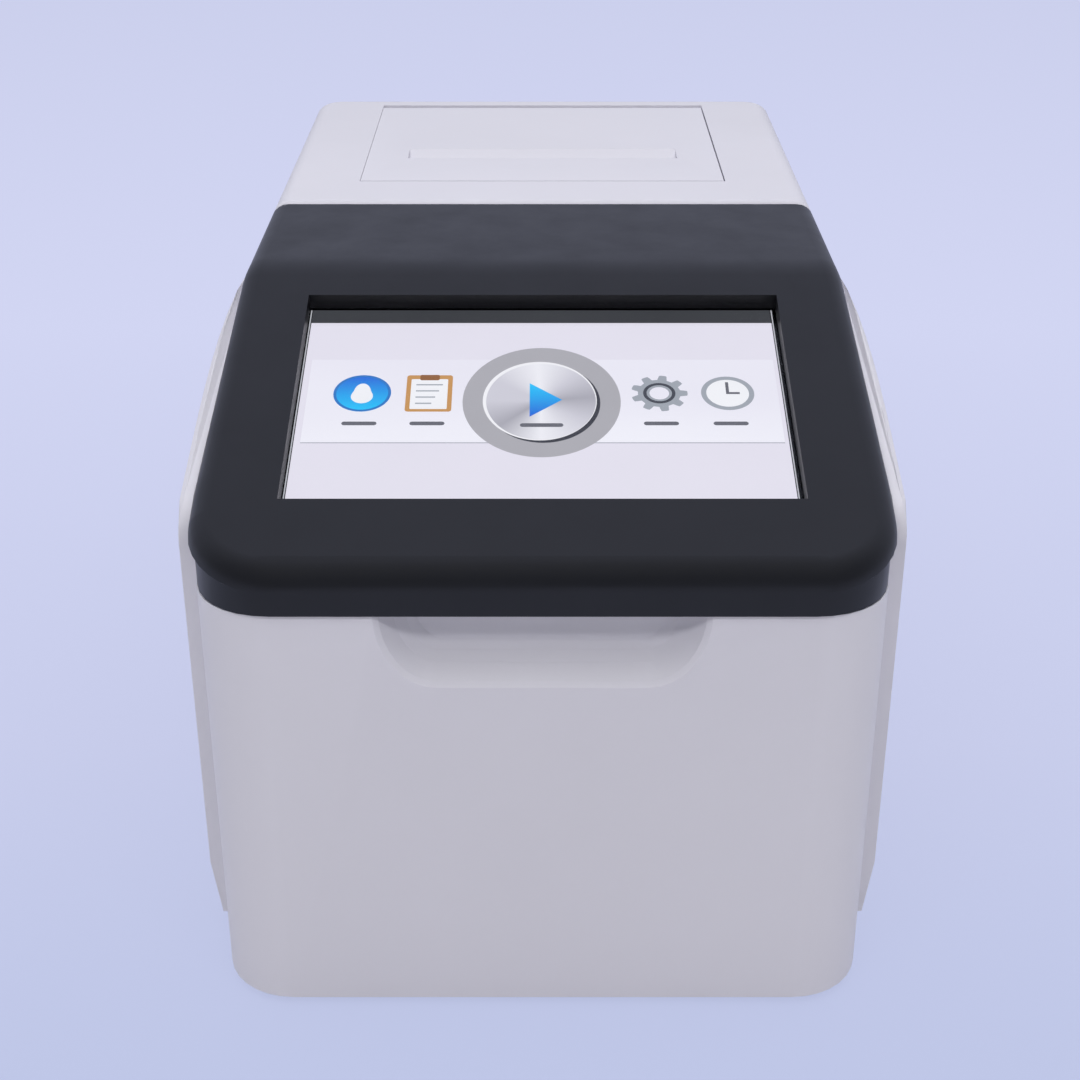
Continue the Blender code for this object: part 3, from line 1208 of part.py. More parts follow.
def arm_center_x():
    return hinge_ear_x() - HINGE_PLATE_THICKNESS - ARM_TO_PLATE_GAP - ARM_THICKNESS / 2




def make_hinges():
    """Each bracket is a jogged foot against the wall, with a rounded arm up to the pin."""
    arm_half, foot_half = HINGE_EAR_RADIUS, HINGE_EAR_RADIUS - HINGE_FOOT_INSET
    jog_top = HINGE_Z - HINGE_JOG_DROP
    jog_low = jog_top - HINGE_JOG_HEIGHT
    wall = hinge_wall_x()
    ear = hinge_ear_x()
    foot_inner = ear - HINGE_PLATE_THICKNESS - HINGE_FOOT_INSET
    for name, side in (("left", -1), ("right", 1)):
        outline = [(HINGE_Y + arm_half, jog_low + HINGE_FOOT_INSET),
                   (HINGE_Y - arm_half, jog_low + HINGE_FOOT_INSET)]
        for step in range(HINGE_EYE_STEPS + 1):
            angle = math.pi * (1 - step / HINGE_EYE_STEPS)
            outline.append((HINGE_Y + arm_half * math.cos(angle), HINGE_Z + arm_half * math.sin(angle)))
        arm = section_loft([[(side * x, y, z) for y, z in outline]
                            for x in (ear - HINGE_PLATE_THICKNESS, ear)])
        bracket = add_object("hinge_bracket_" + name, finish_mesh("hinge_bracket_" + name, arm,
                smooth=False), STEEL)
        foot = [(wall, HINGE_Z - HINGE_PLATE_DROP), (wall, jog_top), (foot_inner, jog_top),
                (foot_inner, jog_low),
                (wall - HINGE_PLATE_THICKNESS, jog_low), (wall - HINGE_PLATE_THICKNESS,
                                                          HINGE_Z - HINGE_PLATE_DROP)]
        rings = [[(side * x, y, z) for x, z in foot] for y in (HINGE_Y - foot_half, HINGE_Y + foot_half)]
        join(bracket, cutter("bracket_foot_" + name, section_loft(rings)))
        bore = rod_bmesh(PIN_RADIUS + BORE_CLEARANCE, (side * (ear - OVERRUN), HINGE_Y, HINGE_Z),
                         (side * (ear + OVERRUN), HINGE_Y, HINGE_Z), 16)
        cut(bracket, cutter("bracket_bore_" + name, bore))
        pin = rod_bmesh(PIN_RADIUS, (side * (ear - PIN_LENGTH), HINGE_Y, HINGE_Z),
                        (side * ear, HINGE_Y, HINGE_Z), 16)
        add_object("hinge_pin_" + name, finish_mesh("hinge_pin_" + name, pin), STEEL)


def make_chamber_cover(lid_pivot):
    low = DECK_TOP + SEAT_GAP + SEAL_HEIGHT + SEAT_GAP
    edge = COVER_EDGE
    flange_top = low + COVER_FLANGE
    profile = [(0.0, TOP_HEIGHT), (COVER_CORE_RADIUS, TOP_HEIGHT), (COVER_CORE_RADIUS, flange_top),
               (COVER_FLANGE_RADIUS - edge, flange_top), (COVER_FLANGE_RADIUS, flange_top - edge),
               (COVER_FLANGE_RADIUS, low + edge), (COVER_FLANGE_RADIUS - edge, low), (0.0, low)]
    place = Vector((0.0, CHAMBER_Y, 0.0)) - lid_pivot.location
    cover = turned("chamber_cover", profile, BLACK_PLASTIC, parent=lid_pivot, place=place, steps=40)
    reach = COVER_FLANGE_RADIUS + OVERRUN
    gap = SEAT_GAP * 2
    near, far = CHAMBER_Y - reach, CHAMBER_Y + reach
    section = [(near, lid_slope(near) - TRAY_DEPTH - gap), (near, TOP_HEIGHT + OVERRUN * 4),
               (far, TOP_HEIGHT + OVERRUN * 4), (far, lid_slope(far) - TRAY_DEPTH - gap)]
    rings = [[(side * reach, y, z) for y, z in section] for side in (-1, 1)]
    cut(cover, cutter("cover_top_cut", section_loft(rings)))


def make_boards():
    y0, y1 = board_start(), board_start() + BOARD_LENGTH
    board = part_box("main_board", (-BOARD_HALF_WIDTH, y0, BOARD_HEIGHT),
                     (BOARD_HALF_WIDTH, y1, BOARD_HEIGHT + BOARD_THICKNESS), CIRCUIT_BOARD)
    sunk = BOARD_HEIGHT + BOARD_THICKNESS / 2
    top = BOARD_HEIGHT + BOARD_THICKNESS
    half = BOARD_CHIP / 2
    blocks = [(shares, BOARD_CHIP_HEIGHT) for shares in BOARD_CHIP_SHARES] + [(BOARD_SINK_SHARES,
            BOARD_SINK)]
    chips = []
    for (share_x, share_y), height in blocks:
        x, y = BOARD_HALF_WIDTH * share_x, y0 + BOARD_LENGTH * share_y
        chips.append(((x - half, y - half, sunk), (x + half, y + half, top + height)))
    join(board, cutter("board_chips", boxes_bmesh(chips)))
    cans = bmesh.new()
    for index in range(3):
        x, y = BOARD_HALF_WIDTH * BOARD_CAN_SHARE, y0 + BOARD_CAN_START + BOARD_CAN_PITCH * index
        rod_bmesh(CAN_RADIUS, (x, y, sunk), (x, y, top + CAN_HEIGHT), 14, cans)
    join(board, cutter("board_cans", cans))

    low = FOOT_DROP + BASE_RECESS + BASE_THICKNESS + SEAT_GAP
    y0 = FRONT_Y + POWER_START_FROM_FRONT
    module = part_box("power_module", (-POWER_WIDTH / 2, y0, low),
                      (POWER_WIDTH / 2, y0 + POWER_LENGTH, low + POWER_HEIGHT),
                      ALUMINIUM)
    fins = []
    for index in range(POWER_FIN_COUNT):
        x = POWER_WIDTH * ((index + 0.5) / POWER_FIN_COUNT - 0.5)
        fins.append(((x - POWER_FIN_GAP / 2, y0 - OVERRUN, low + POWER_HEIGHT - POWER_FIN_DEPTH),
                     (x + POWER_FIN_GAP / 2, y0 + POWER_LENGTH + OVERRUN, low + POWER_HEIGHT + OVERRUN)))
    cut(module, cutter("power_fins", boxes_bmesh(fins)))


def make_paper_bucket():
    inner_w = DOOR_HALF_WIDTH + DOOR_SEAM
    inner_f = DOOR_FRONT_Y - DOOR_SEAM
    inner_r = DOOR_REAR_Y + DOOR_SEAM
    top = TOP_HEIGHT - WALL - SEAT_GAP
    wall = BUCKET_WALL
    bucket = part_box("paper_bucket", (-inner_w - wall, inner_f - wall, BUCKET_BOTTOM),
                      (inner_w + wall, inner_r + wall, top), GREY_PLASTIC)
    hollow = box_bmesh((-inner_w, inner_f, BUCKET_FLOOR), (inner_w, inner_r, top + OVERRUN))
    cut(bucket, cutter("bucket_hollow", hollow))

    middle = DOOR_REAR_Y - ROLL_TO_DOOR_REAR
    floor = BUCKET_FLOOR
    cheeks = []
    start = ROLL_HALF_WIDTH + CHEEK_GAP
    for side in (-1, 1):
        xs = sorted((side * start, side * (start + CHEEK_THICKNESS)))
        cheeks.append(((xs[0], middle - CHEEK_HALF_LENGTH, floor - wall / 2),
                       (xs[1], middle + CHEEK_HALF_LENGTH, floor + CHEEK_HEIGHT)))
    join(bucket, cutter("roll_cheeks", boxes_bmesh(cheeks)))

    for name, side in (("left", -1), ("right", 1)):
        hole = rod_bmesh(DOOR_PIN_RADIUS + SEAT_GAP, (side * (inner_w - OVERRUN), door_axis_y(),
                                                      door_axis_z()),
                         (side * (inner_w + OVERRUN), door_axis_y(), door_axis_z()), 16)
        cut(bucket, cutter("bucket_pin_hole_" + name, hole))
        ends = (side * (inner_w + wall - DOOR_PIN_LENGTH), side * (inner_w + wall))
        pin = rod_bmesh(DOOR_PIN_RADIUS, (ends[0], door_axis_y(), door_axis_z()),
                        (ends[1], door_axis_y(), door_axis_z()), 16)
        add_object("door_pin_" + name, finish_mesh("door_pin_" + name, pin), STEEL)


def door_axis_y():
    return DOOR_REAR_Y - DOOR_BARREL_RADIUS


def door_axis_z():
    return TOP_HEIGHT - DOOR_BARREL_RADIUS


def platen_place():
    return Vector((0.0, DOOR_FRONT_Y + PLATEN_FROM_DOOR_FRONT, TOP_HEIGHT - PLATEN_BELOW_TOP))


def make_paper_door():
    pivot = add_pivot("paper_door_axis", (0.0, door_axis_y(), door_axis_z()))
    origin = pivot.location
    half = DOOR_HALF_WIDTH
    front = DOOR_FRONT_Y
    low = TOP_HEIGHT - DOOR_THICKNESS
    slab = box_bmesh((-half, front, low), (half, door_axis_y(), TOP_HEIGHT))
    door = add_object("paper_door", finish_mesh("paper_door", slab, smooth=False, origin=origin),
                      WHITE_PLASTIC, pivot)
    barrel = rod_bmesh(DOOR_BARREL_RADIUS, (-half, door_axis_y(), door_axis_z()),
                       (half, door_axis_y(), door_axis_z()), 24)
    join(door, cutter("door_barrel", barrel))

    y0 = DOOR_FRONT_Y + PULL_FROM_DOOR_FRONT
    shell = box_bmesh((-PULL_HALF_WIDTH - PULL_WALL, y0 - PULL_WALL, TOP_HEIGHT - PULL_DEPTH - PULL_WALL),
                      (PULL_HALF_WIDTH + PULL_WALL, y0 + PULL_LENGTH + PULL_WALL,
                       TOP_HEIGHT - DOOR_THICKNESS / 2))
    join(door, cutter("pull_shell", shell))
    slot = box_bmesh((-PULL_HALF_WIDTH, y0, TOP_HEIGHT - PULL_DEPTH),
                     (PULL_HALF_WIDTH, y0 + PULL_LENGTH, TOP_HEIGHT + OVERRUN))
    cut(door, cutter("pull_slot", slot))

    platen = platen_place()
    ear_x = PLATEN_HALF_LENGTH + EAR_GAP
    ears = []
    for side in (-1, 1):
        xs = sorted((side * ear_x, side * (ear_x + EAR_THICKNESS)))
        ears.append(((xs[0], platen.y - EAR_RADIUS, platen.z - EAR_RADIUS),
                     (xs[1], platen.y + EAR_RADIUS, TOP_HEIGHT - DOOR_THICKNESS / 2)))
    join(door, cutter("platen_ears", boxes_bmesh(ears)))
    bore_end = ear_x + EAR_THICKNESS + OVERRUN
    cut(door, cutter("platen_bore", rod_bmesh(PLATEN_SHAFT_RADIUS + SEAT_GAP,
                                              (-bore_end, platen.y, platen.z),
                                              (bore_end, platen.y, platen.z), 16)))
    for name, side in (("left", -1), ("right", 1)):
        hole = rod_bmesh(DOOR_PIN_RADIUS + SEAT_GAP, (side * (half - OVERRUN), door_axis_y(),
                                                      door_axis_z()),
                         (side * (half + OVERRUN), door_axis_y(), door_axis_z()), 16)
        cut(door, cutter("door_pin_hole_" + name, hole))


def gear_bmesh(teeth, x0, x1, turn=0.0):
    """A spur gear about the X axis, with simple trapezoid teeth."""
    pitch = GEAR_MODULE * teeth / 2
    root, tip = pitch - 1.15 * GEAR_MODULE, pitch + 0.85 * GEAR_MODULE
    points = []
    for index in range(teeth):
        start = math.tau * index / teeth + turn
        for share, radius in ((-0.32, root), (-0.14, tip), (0.14, tip), (0.32, root)):
            angle = start + math.tau / teeth * share
            points.append((radius * math.cos(angle), radius * math.sin(angle)))
    return section_loft([[(x, y, z) for y, z in points] for x in (x0, x1)])


def gear_x():
    return PLATEN_HALF_LENGTH + EAR_GAP + EAR_THICKNESS + EAR_GAP


def drive_place():
    """The drive gear sits below the platen gear, one centre distance away."""
    distance = GEAR_MODULE * (PLATEN_TEETH + DRIVE_TEETH) / 2 + SEAT_GAP
    return platen_place() + Vector((0.0, 0.0, -distance))


def make_platen():
    pivot = add_pivot("platen_axis", platen_place())
    roller = turned("platen_roller", rod_profile(PLATEN_RADIUS, -PLATEN_HALF_LENGTH, PLATEN_HALF_LENGTH,
                                                 PLATEN_RADIUS / 10),
                    RUBBER, parent=pivot, tilt=(0.0, math.pi / 2, 0.0), steps=24)
    end = gear_x() + GEAR_WIDTH / 2
    shaft = rod_bmesh(PLATEN_SHAFT_RADIUS, (-ear_outer(), 0.0, 0.0), (end, 0.0, 0.0), 14)
    join(roller, cutter("platen_shaft", shaft, pivot))
    gear = gear_bmesh(PLATEN_TEETH, gear_x(), gear_x() + GEAR_WIDTH)
    join(roller, cutter("platen_gear", gear, pivot))

    drive = add_pivot("drive_gear_axis", drive_place())
    turn = math.pi / 2 + math.pi / DRIVE_TEETH
    wheel = gear_bmesh(DRIVE_TEETH, gear_x(), gear_x() + GEAR_WIDTH, turn)
    wheel_mesh = finish_mesh("drive_gear", wheel, smooth=False)
    gear_part = add_object("drive_gear", wheel_mesh, GREY_PLASTIC, drive)
    axle = rod_bmesh(PLATEN_SHAFT_RADIUS, (PRINTER_HALF_WIDTH - OVERRUN / 2 + SEAT_GAP, 0.0, 0.0),
                     (gear_x() + GEAR_WIDTH / 2, 0.0, 0.0), 14)
    join(gear_part, cutter("drive_axle", axle, drive))


def ear_outer():
    return PLATEN_HALF_LENGTH + EAR_GAP + EAR_THICKNESS + EAR_GAP


def make_printer():
    platen = platen_place()
    drive = drive_place()
    rear = platen.y + PRINTER_LENGTH
    front = platen.y - PLATEN_RADIUS
    floor = BUCKET_FLOOR + SEAT_GAP
    top = platen.z - EAR_RADIUS - SEAT_GAP * 4
    half = gear_x() - SEAT_GAP * 2
    frame = part_box("printer_frame", (-half, front, floor), (half, rear, top), BLACK_PLASTIC)
    slot = box_bmesh((-half - OVERRUN, platen.y + PLATEN_RADIUS + HEAD_GAP + HEAD_THICKNESS + SEAT_GAP,
                      top - HEAD_HEIGHT / 2),
                     (half + OVERRUN, rear + OVERRUN, top + OVERRUN))
    cut(frame, cutter("frame_step", slot))
    bore = rod_bmesh(PLATEN_SHAFT_RADIUS + SEAT_GAP, (half - OVERRUN / 2 - SEAT_GAP, drive.y, drive.z),
                     (half + OVERRUN, drive.y, drive.z), 16)
    cut(frame, cutter("drive_bore", bore))

    head_y = platen.y + PLATEN_RADIUS + HEAD_GAP
    part_box("print_head", (-PLATEN_HALF_LENGTH, head_y, top + SEAT_GAP),
             (PLATEN_HALF_LENGTH, head_y + HEAD_THICKNESS, platen.z + PLATEN_RADIUS / 2),
             STEEL)


def make_paper_roll():
    place = (0.0, DOOR_REAR_Y - ROLL_TO_DOOR_REAR, BUCKET_FLOOR + SEAT_GAP + ROLL_RADIUS)
    pivot = add_pivot("paper_roll_axis", place)
    half = ROLL_HALF_WIDTH
    turned("paper_roll", ring_profile(CORE_RADIUS + SEAT_GAP, ROLL_RADIUS, -half, half), PAPER, closed=True,
           parent=pivot, tilt=(0.0, math.pi / 2, 0.0), steps=40)
    turned("paper_core", ring_profile(CORE_RADIUS - CORE_WALL, CORE_RADIUS, -half, half), GREY_PLASTIC,
           closed=True,
           parent=pivot, tilt=(0.0, math.pi / 2, 0.0), steps=20)


def build():
    make_lower_housing()
    make_side_cover("side_cover_left", -1)
    make_side_cover("side_cover_right", 1)
    make_base_plate()
    make_feet()
    make_rear_panel()
    make_sockets()
    make_power_switch()
    make_fan()
    make_boards()
    make_deck()
    make_chamber()
    make_optics()
    make_lid_switch()
    make_hinges()
    make_rear_cover()
    make_paper_bucket()
    make_paper_door()
    make_platen()
    make_printer()
    make_paper_roll()

    lid_pivot = add_pivot("lid_axis", (0.0, HINGE_Y, HINGE_Z))
    screen_y = FRONT_Y + SCREEN_CENTER_FROM_FRONT
    screen_place = Vector((0.0, screen_y, lid_surface(screen_y))) - lid_pivot.location
    screen_frame = add_pivot("screen_frame", screen_place, LID_TILT, lid_pivot)
    make_screen_bezel(lid_pivot, screen_frame)
    make_display(screen_frame)
    make_lid_tray(lid_pivot)
    make_chamber_cover(lid_pivot)
    make_magnets(lid_pivot)


build()
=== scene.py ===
"""Looks of the benchtop dry chemistry analyzer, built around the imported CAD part.

Metres, +Z up, the front faces -Y. Places follow the boxes, faces and points of the CAD nodes.
The screen shows a generic start page with plain motifs.
"""

import json
import math

import bmesh
import bpy
from mathutils import Matrix, Vector
from mathutils.bvhtree import BVHTree


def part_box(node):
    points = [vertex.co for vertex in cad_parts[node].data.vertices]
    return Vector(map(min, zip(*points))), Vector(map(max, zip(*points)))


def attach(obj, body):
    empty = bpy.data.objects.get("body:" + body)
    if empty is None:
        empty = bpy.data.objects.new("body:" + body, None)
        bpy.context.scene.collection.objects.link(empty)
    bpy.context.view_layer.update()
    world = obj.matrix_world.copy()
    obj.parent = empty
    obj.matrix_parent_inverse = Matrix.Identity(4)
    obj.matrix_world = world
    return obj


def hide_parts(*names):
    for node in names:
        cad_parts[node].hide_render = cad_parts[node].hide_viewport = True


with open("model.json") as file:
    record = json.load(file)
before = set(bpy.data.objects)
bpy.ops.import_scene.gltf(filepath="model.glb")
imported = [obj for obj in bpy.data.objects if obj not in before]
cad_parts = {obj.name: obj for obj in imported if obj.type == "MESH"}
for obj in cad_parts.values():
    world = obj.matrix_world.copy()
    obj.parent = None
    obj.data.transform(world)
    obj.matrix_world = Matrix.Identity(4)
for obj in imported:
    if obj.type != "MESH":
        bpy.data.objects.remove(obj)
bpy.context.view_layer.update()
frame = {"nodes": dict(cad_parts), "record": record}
NODES = frame["nodes"]

# Camera fitted to the photograph, which is 1080 pixels square
PHOTO_PIXELS = 1080
CAMERA_FOCAL_PIXELS = 1842.15
CAMERA_CENTER_COLUMN = 542.6
CAMERA_SENSOR = 36.0
CAMERA_DISTANCE = 0.45957
CAMERA_HEIGHT = 0.39821
CAMERA_DROP = math.radians(26.76)

FULL_TURN = 2 * math.pi

# Places read from the CAD
HOUSING_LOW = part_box("lower_housing")[0]
FRONT_Y = HOUSING_LOW.y
FRONT_SKIN = 0.0002
HOUSING_FRONT_TOP = max(v.co.z for v in NODES["lower_housing"].data.vertices
                        if v.co.y < FRONT_Y + FRONT_SKIN)

# The sRGB curve
CHANNEL_TOP = 255
SRGB_KNEE = 0.04045
SRGB_DIVISOR = 12.92
SRGB_OFFSET = 0.055
SRGB_POWER = 2.4


def srgb(code):
    """Linear colour of a six-digit sRGB code."""
    values = [int(code[i:i + 2], 16) / CHANNEL_TOP for i in (0, 2, 4)]
    return [v / SRGB_DIVISOR if v <= SRGB_KNEE else ((v + SRGB_OFFSET) / (1 + SRGB_OFFSET)) ** SRGB_POWER
            for v in values] + [1.0]


# Materials: each noise as detail and roughness, and the values between which a look changes
DRIFT_NOISE = (3.0, 0.55)
DRIFT_STOPS = (0.3, 0.7)
GLOSS_NOISE = (4.0, 0.6)
GLOSS_STOPS = (0.25, 0.75)
GLOSS_SCALE = 2.3
LEAST_ROUGHNESS = 0.02
EDGE_STOPS = (0.52, 0.62)

# Lit areas hardly mirror the room, so that their colour is their own light's
LIT_BASE = 0.002
LIT_ROUGHNESS = 0.4
LIT_GLOSS = 0.05
LIT_GRAIN = 4000.0
LIT_BUMP = (0.1, 0.00001)
LIT_PATCH = 30.0

# Cover glass, with faint smears
GLASS_INDEX = 1.3
GLASS_GLOSS = 0.05
SMEAR_SCALE = 35.0
SMEAR_STOPS = (0.3, 0.75)
SMEAR_ROUGHNESS = (0.015, 0.05)


def new_material(name):
    mat = bpy.data.materials.new(name)
    mat.use_nodes = True
    tree = mat.node_tree
    shader = tree.nodes["Principled BSDF"]
    return mat, tree, shader


def node(tree, kind, settings=None, **inputs):
    made = tree.nodes.new(kind)
    for key, value in (settings or {}).items():
        setattr(made, key, value)
    for key, value in inputs.items():
        made.inputs[key.replace("_", " ")].default_value = value
    return made


def noise(tree, scale, detail=2.0, roughness=0.5, stretch=None):
    """Noise on object coordinates; stretch draws it out along an axis, as in brushed streaks."""
    coords = tree.nodes.new("ShaderNodeTexCoord")
    made = node(tree, "ShaderNodeTexNoise", Scale=scale, Detail=detail, Roughness=roughness)
    source = coords.outputs["Object"]
    if stretch:
        mapping = tree.nodes.new("ShaderNodeMapping")
        mapping.inputs["Scale"].default_value = stretch
        tree.links.new(source, mapping.inputs["Vector"])
        source = mapping.outputs["Vector"]
    tree.links.new(source, made.inputs["Vector"])
    return made.outputs["Fac"]


def ramp(tree, source, places, colors):
    """Colour that runs through the given ones, each at its place between 0 and 1."""
    made = tree.nodes.new("ShaderNodeValToRGB")
    tree.links.new(source, made.inputs["Fac"])
    points = made.color_ramp.elements
    while len(points) < len(places):
        points.new(0.5)
    for point, place, color in zip(points, places, colors):
        point.position = place
        point.color = color
    return made.outputs["Color"]


def span(tree, source, start, end):
    """0 to 1 while the source goes from start to end."""
    made = node(tree, "ShaderNodeMapRange", From_Min=start, From_Max=end)
    tree.links.new(source, made.inputs["Value"])
    return made.outputs["Result"]


def span_along_y(tree, coords, start, end):
    """0 to 1 while the Y of the coordinates goes from start to end."""
    split = tree.nodes.new("ShaderNodeSeparateXYZ")
    tree.links.new(coords, split.inputs["Vector"])
    return span(tree, split.outputs["Y"], start, end)


def mix_colors(tree, factor, first, second):
    """Colour first where the factor is 0, second where it is 1; a colour is a socket or four numbers."""
    made = node(tree, "ShaderNodeMix", {"data_type": "RGBA"})
    tree.links.new(factor, made.inputs["Factor"])
    slots = [s for s in made.inputs if s.type == "RGBA"]
    for place, color in zip(slots, (first, second)):
        if isinstance(color, list):
            place.default_value = color
        else:
            tree.links.new(color, place)
    return [s for s in made.outputs if s.type == "RGBA"][0]


def grey(value):
    return [value, value, value, 1.0]


def shade(color, factor):
    return [min(1.0, c * factor) for c in color[:3]] + [1.0]


def bumps(tree, shader, source, strength, distance):
    made = node(tree, "ShaderNodeBump", Strength=strength, Distance=distance)
    tree.links.new(source, made.inputs["Height"])
    tree.links.new(made.outputs["Normal"], shader.inputs["Normal"])


def surface(name, color, roughness, metallic=0.0, spread=0.05, patch=22.0, grain=2600.0, depth=0.00002,
            strength=0.4, rough_spread=0.05, stretch=None, wear=0.0, specular=0.5):
    """A moulded, painted or metal surface: slow colour drift, fine grain, uneven gloss, worn edges."""
    mat, tree, shader = new_material(name)
    low, high = shade(color, 1 - spread), shade(color, 1 + spread)
    drift = ramp(tree, noise(tree, patch, *DRIFT_NOISE), DRIFT_STOPS, (low, high))
    if wear:
        edges = tree.nodes.new("ShaderNodeNewGeometry")
        mask = ramp(tree, edges.outputs["Pointiness"], EDGE_STOPS, (grey(0.0), grey(1.0)))
        drift = mix_colors(tree, mask, drift, shade(color, 1 + wear))
    tree.links.new(drift, shader.inputs["Base Color"])
    smooth, rough = max(LEAST_ROUGHNESS, roughness - rough_spread), roughness + rough_spread
    gloss = noise(tree, patch * GLOSS_SCALE, *GLOSS_NOISE)
    tree.links.new(ramp(tree, gloss, GLOSS_STOPS, (grey(smooth), grey(rough))), shader.inputs["Roughness"])
    shader.inputs["Metallic"].default_value = metallic
    shader.inputs["Specular IOR Level"].default_value = specular
    bumps(tree, shader, noise(tree, grain, stretch=stretch), strength, depth)
    return mat


def light_up(tree, shader, color):
    """Makes the colour the surface's own light."""
    tree.links.new(color, shader.inputs["Emission Color"])
    shader.inputs["Emission Strength"].default_value = 1.0
    shader.inputs["Base Color"].default_value = grey(LIT_BASE)
    shader.inputs["Roughness"].default_value = LIT_ROUGHNESS
    shader.inputs["Specular IOR Level"].default_value = LIT_GLOSS
    bumps(tree, shader, noise(tree, LIT_GRAIN, 1.0), *LIT_BUMP)


def lit(name, low, high, patch=LIT_PATCH, stretch=None):
    """A lit area of the display: its own light drifts between two close colours."""
    mat, tree, shader = new_material(name)
    light_up(tree, shader, ramp(tree, noise(tree, patch, stretch=stretch), DRIFT_STOPS, (low, high)))
    return mat


def graded_light(name, low, high, start, end):
    """A lit mark that turns from one colour to the other up the screen."""
    mat, tree, shader = new_material(name)
    coords = tree.nodes.new("ShaderNodeTexCoord").outputs["Object"]
    light_up(tree, shader, ramp(tree, span_along_y(tree, coords, start, end), (0.0, 1.0), (low, high)))
    return mat


def flat_light(name, code, spread=0.02):
    color = srgb(code)
    return lit(name, shade(color, 1 - spread), shade(color, 1 + spread))


WHITE = surface("white_moulding", srgb("d9d8e1"), 0.46, spread=0.012, wear=0.03, specular=0.35)
DARK = surface("dark_moulding", srgb("1c1d21"), 0.40, spread=0.05, depth=0.000025, wear=0.2,
               specular=0.33)
GREY = surface("grey_moulding", srgb("a5a7af"), 0.5, spread=0.03)
BLACK = surface("black_moulding", srgb("1d1e22"), 0.42, spread=0.12)
RUBBER = surface("rubber_moulding", srgb("2a2a2c"), 0.8, spread=0.15, grain=1600.0, depth=0.00004)
STEEL = surface("brushed_steel", srgb("b9bcc2"), 0.32, metallic=1.0, spread=0.06,
                stretch=(0.04, 1.0, 1.0))
ALUMINIUM = surface("milled_aluminium", srgb("c8cad0"), 0.38, metallic=1.0, spread=0.05,
                    stretch=(1.0, 0.06, 1.0))
BOARD = surface("solder_mask", srgb("1d6b45"), 0.34, spread=0.12, patch=60.0, grain=700.0, depth=0.00004)
PAPER = surface("thermal_paper", srgb("f1f0ea"), 0.78, spread=0.015, grain=1800.0)
PANEL = surface("display_face", srgb("17181c"), 0.25, spread=0.1)

GLASS, glass_tree, glass_shader = new_material("cover_glass")
glass_shader.inputs["Base Color"].default_value = srgb("fdfdfe")
glass_shader.inputs["Transmission Weight"].default_value = 1.0
glass_shader.inputs["IOR"].default_value = GLASS_INDEX
glass_shader.inputs["Specular IOR Level"].default_value = GLASS_GLOSS
smears = ramp(glass_tree, noise(glass_tree, SMEAR_SCALE, *GLOSS_NOISE), SMEAR_STOPS,
              [grey(value) for value in SMEAR_ROUGHNESS])
glass_tree.links.new(smears, glass_shader.inputs["Roughness"])

SLOT_FINISH = {
    "white_plastic": WHITE, "dark_plastic": DARK, "grey_plastic": GREY, "black_plastic": BLACK,
    "rubber": RUBBER, "steel": STEEL, "aluminium": ALUMINIUM, "circuit_board": BOARD,
    "screen_glass": GLASS, "display_panel": PANEL, "paper": PAPER,
}
SLOT_OF_NODE = {sub["node"]: sub["material_slot"] for sub in frame["record"]["subparts"]}
for name, part in NODES.items():
    for slot in part.material_slots:
        slot.material = SLOT_FINISH[SLOT_OF_NODE[name]]

# Smooth shells: copies of moulded and turned nodes with smooth normals, four of them also reshaped
WELD = 0.000002
CREASE_ANGLE = math.radians(33)
HOUSING_CREASE = math.radians(16)
FLAT_ANGLE = math.radians(0.3)
COVER_EDGE_ROUND = 0.0012
EDGE_STEPS = 3
NORMAL_WEIGHT = 100

# Finger recess as it is in the solid: the zone that holds its points, and the outline of its rear wall
RECESS_HALF_WIDTH = 0.0490
RECESS_HEIGHT = 0.0246
RECESS_DEPTH = 0.0131
RECESS_REAR_DEPTH = 0.0128
RECESS_FLAT_HALF = 0.0307
RECESS_REAR_SIDE = 0.0036

# Finger recess as it is drawn: shallower, with a taller and rounder rear wall
RECESS_SHARE = 0.68
REAR_WALL_FLAT_HALF = 0.0266
REAR_WALL_SIDE = 0.0110
REAR_WALL_DROP_SHARE = 1.37

# Side covers: the corner between the top edge and the front face
COVER_CORNER_ROUND = 0.0075
COVER_CORNER_STEPS = 6
ROUND_PROFILE = 0.5
COVER_FRONT_BAND = 0.0015
COVER_TOP_BAND = 0.0025

# Paper door: the pull's rear wall slopes, and the left seam is narrow
SLACK = 0.0002
PULL_SLOPE = 0.0075
PULL_DEPTH = 0.0024
PULL_REACH = 0.0600
SEAM_FILL = 0.0004


def body_of_node(name):
    for body, names in frame["record"]["behaviour"]["bodies"].items():
        if name in names:
            return body
    return "root"


def flatten_recess(bm):
    """Brings the finger recess closer to the front face and makes its rear wall taller and rounder."""
    low = HOUSING_FRONT_TOP - RECESS_HEIGHT
    for vert in bm.verts:
        depth, reach = vert.co.y - FRONT_Y, abs(vert.co.x)
        if reach < RECESS_HALF_WIDTH and vert.co.z > low and 0.0 < depth < RECESS_DEPTH:
            vert.co.y = FRONT_Y + depth * RECESS_SHARE
            if depth > RECESS_REAR_DEPTH:
                turn = min(1.0, max(0.0, reach - RECESS_FLAT_HALF) / RECESS_REAR_SIDE)
                vert.co.x = math.copysign(REAR_WALL_FLAT_HALF + REAR_WALL_SIDE * turn, vert.co.x)
                vert.co.z = HOUSING_FRONT_TOP - (HOUSING_FRONT_TOP - vert.co.z) * REAR_WALL_DROP_SHARE


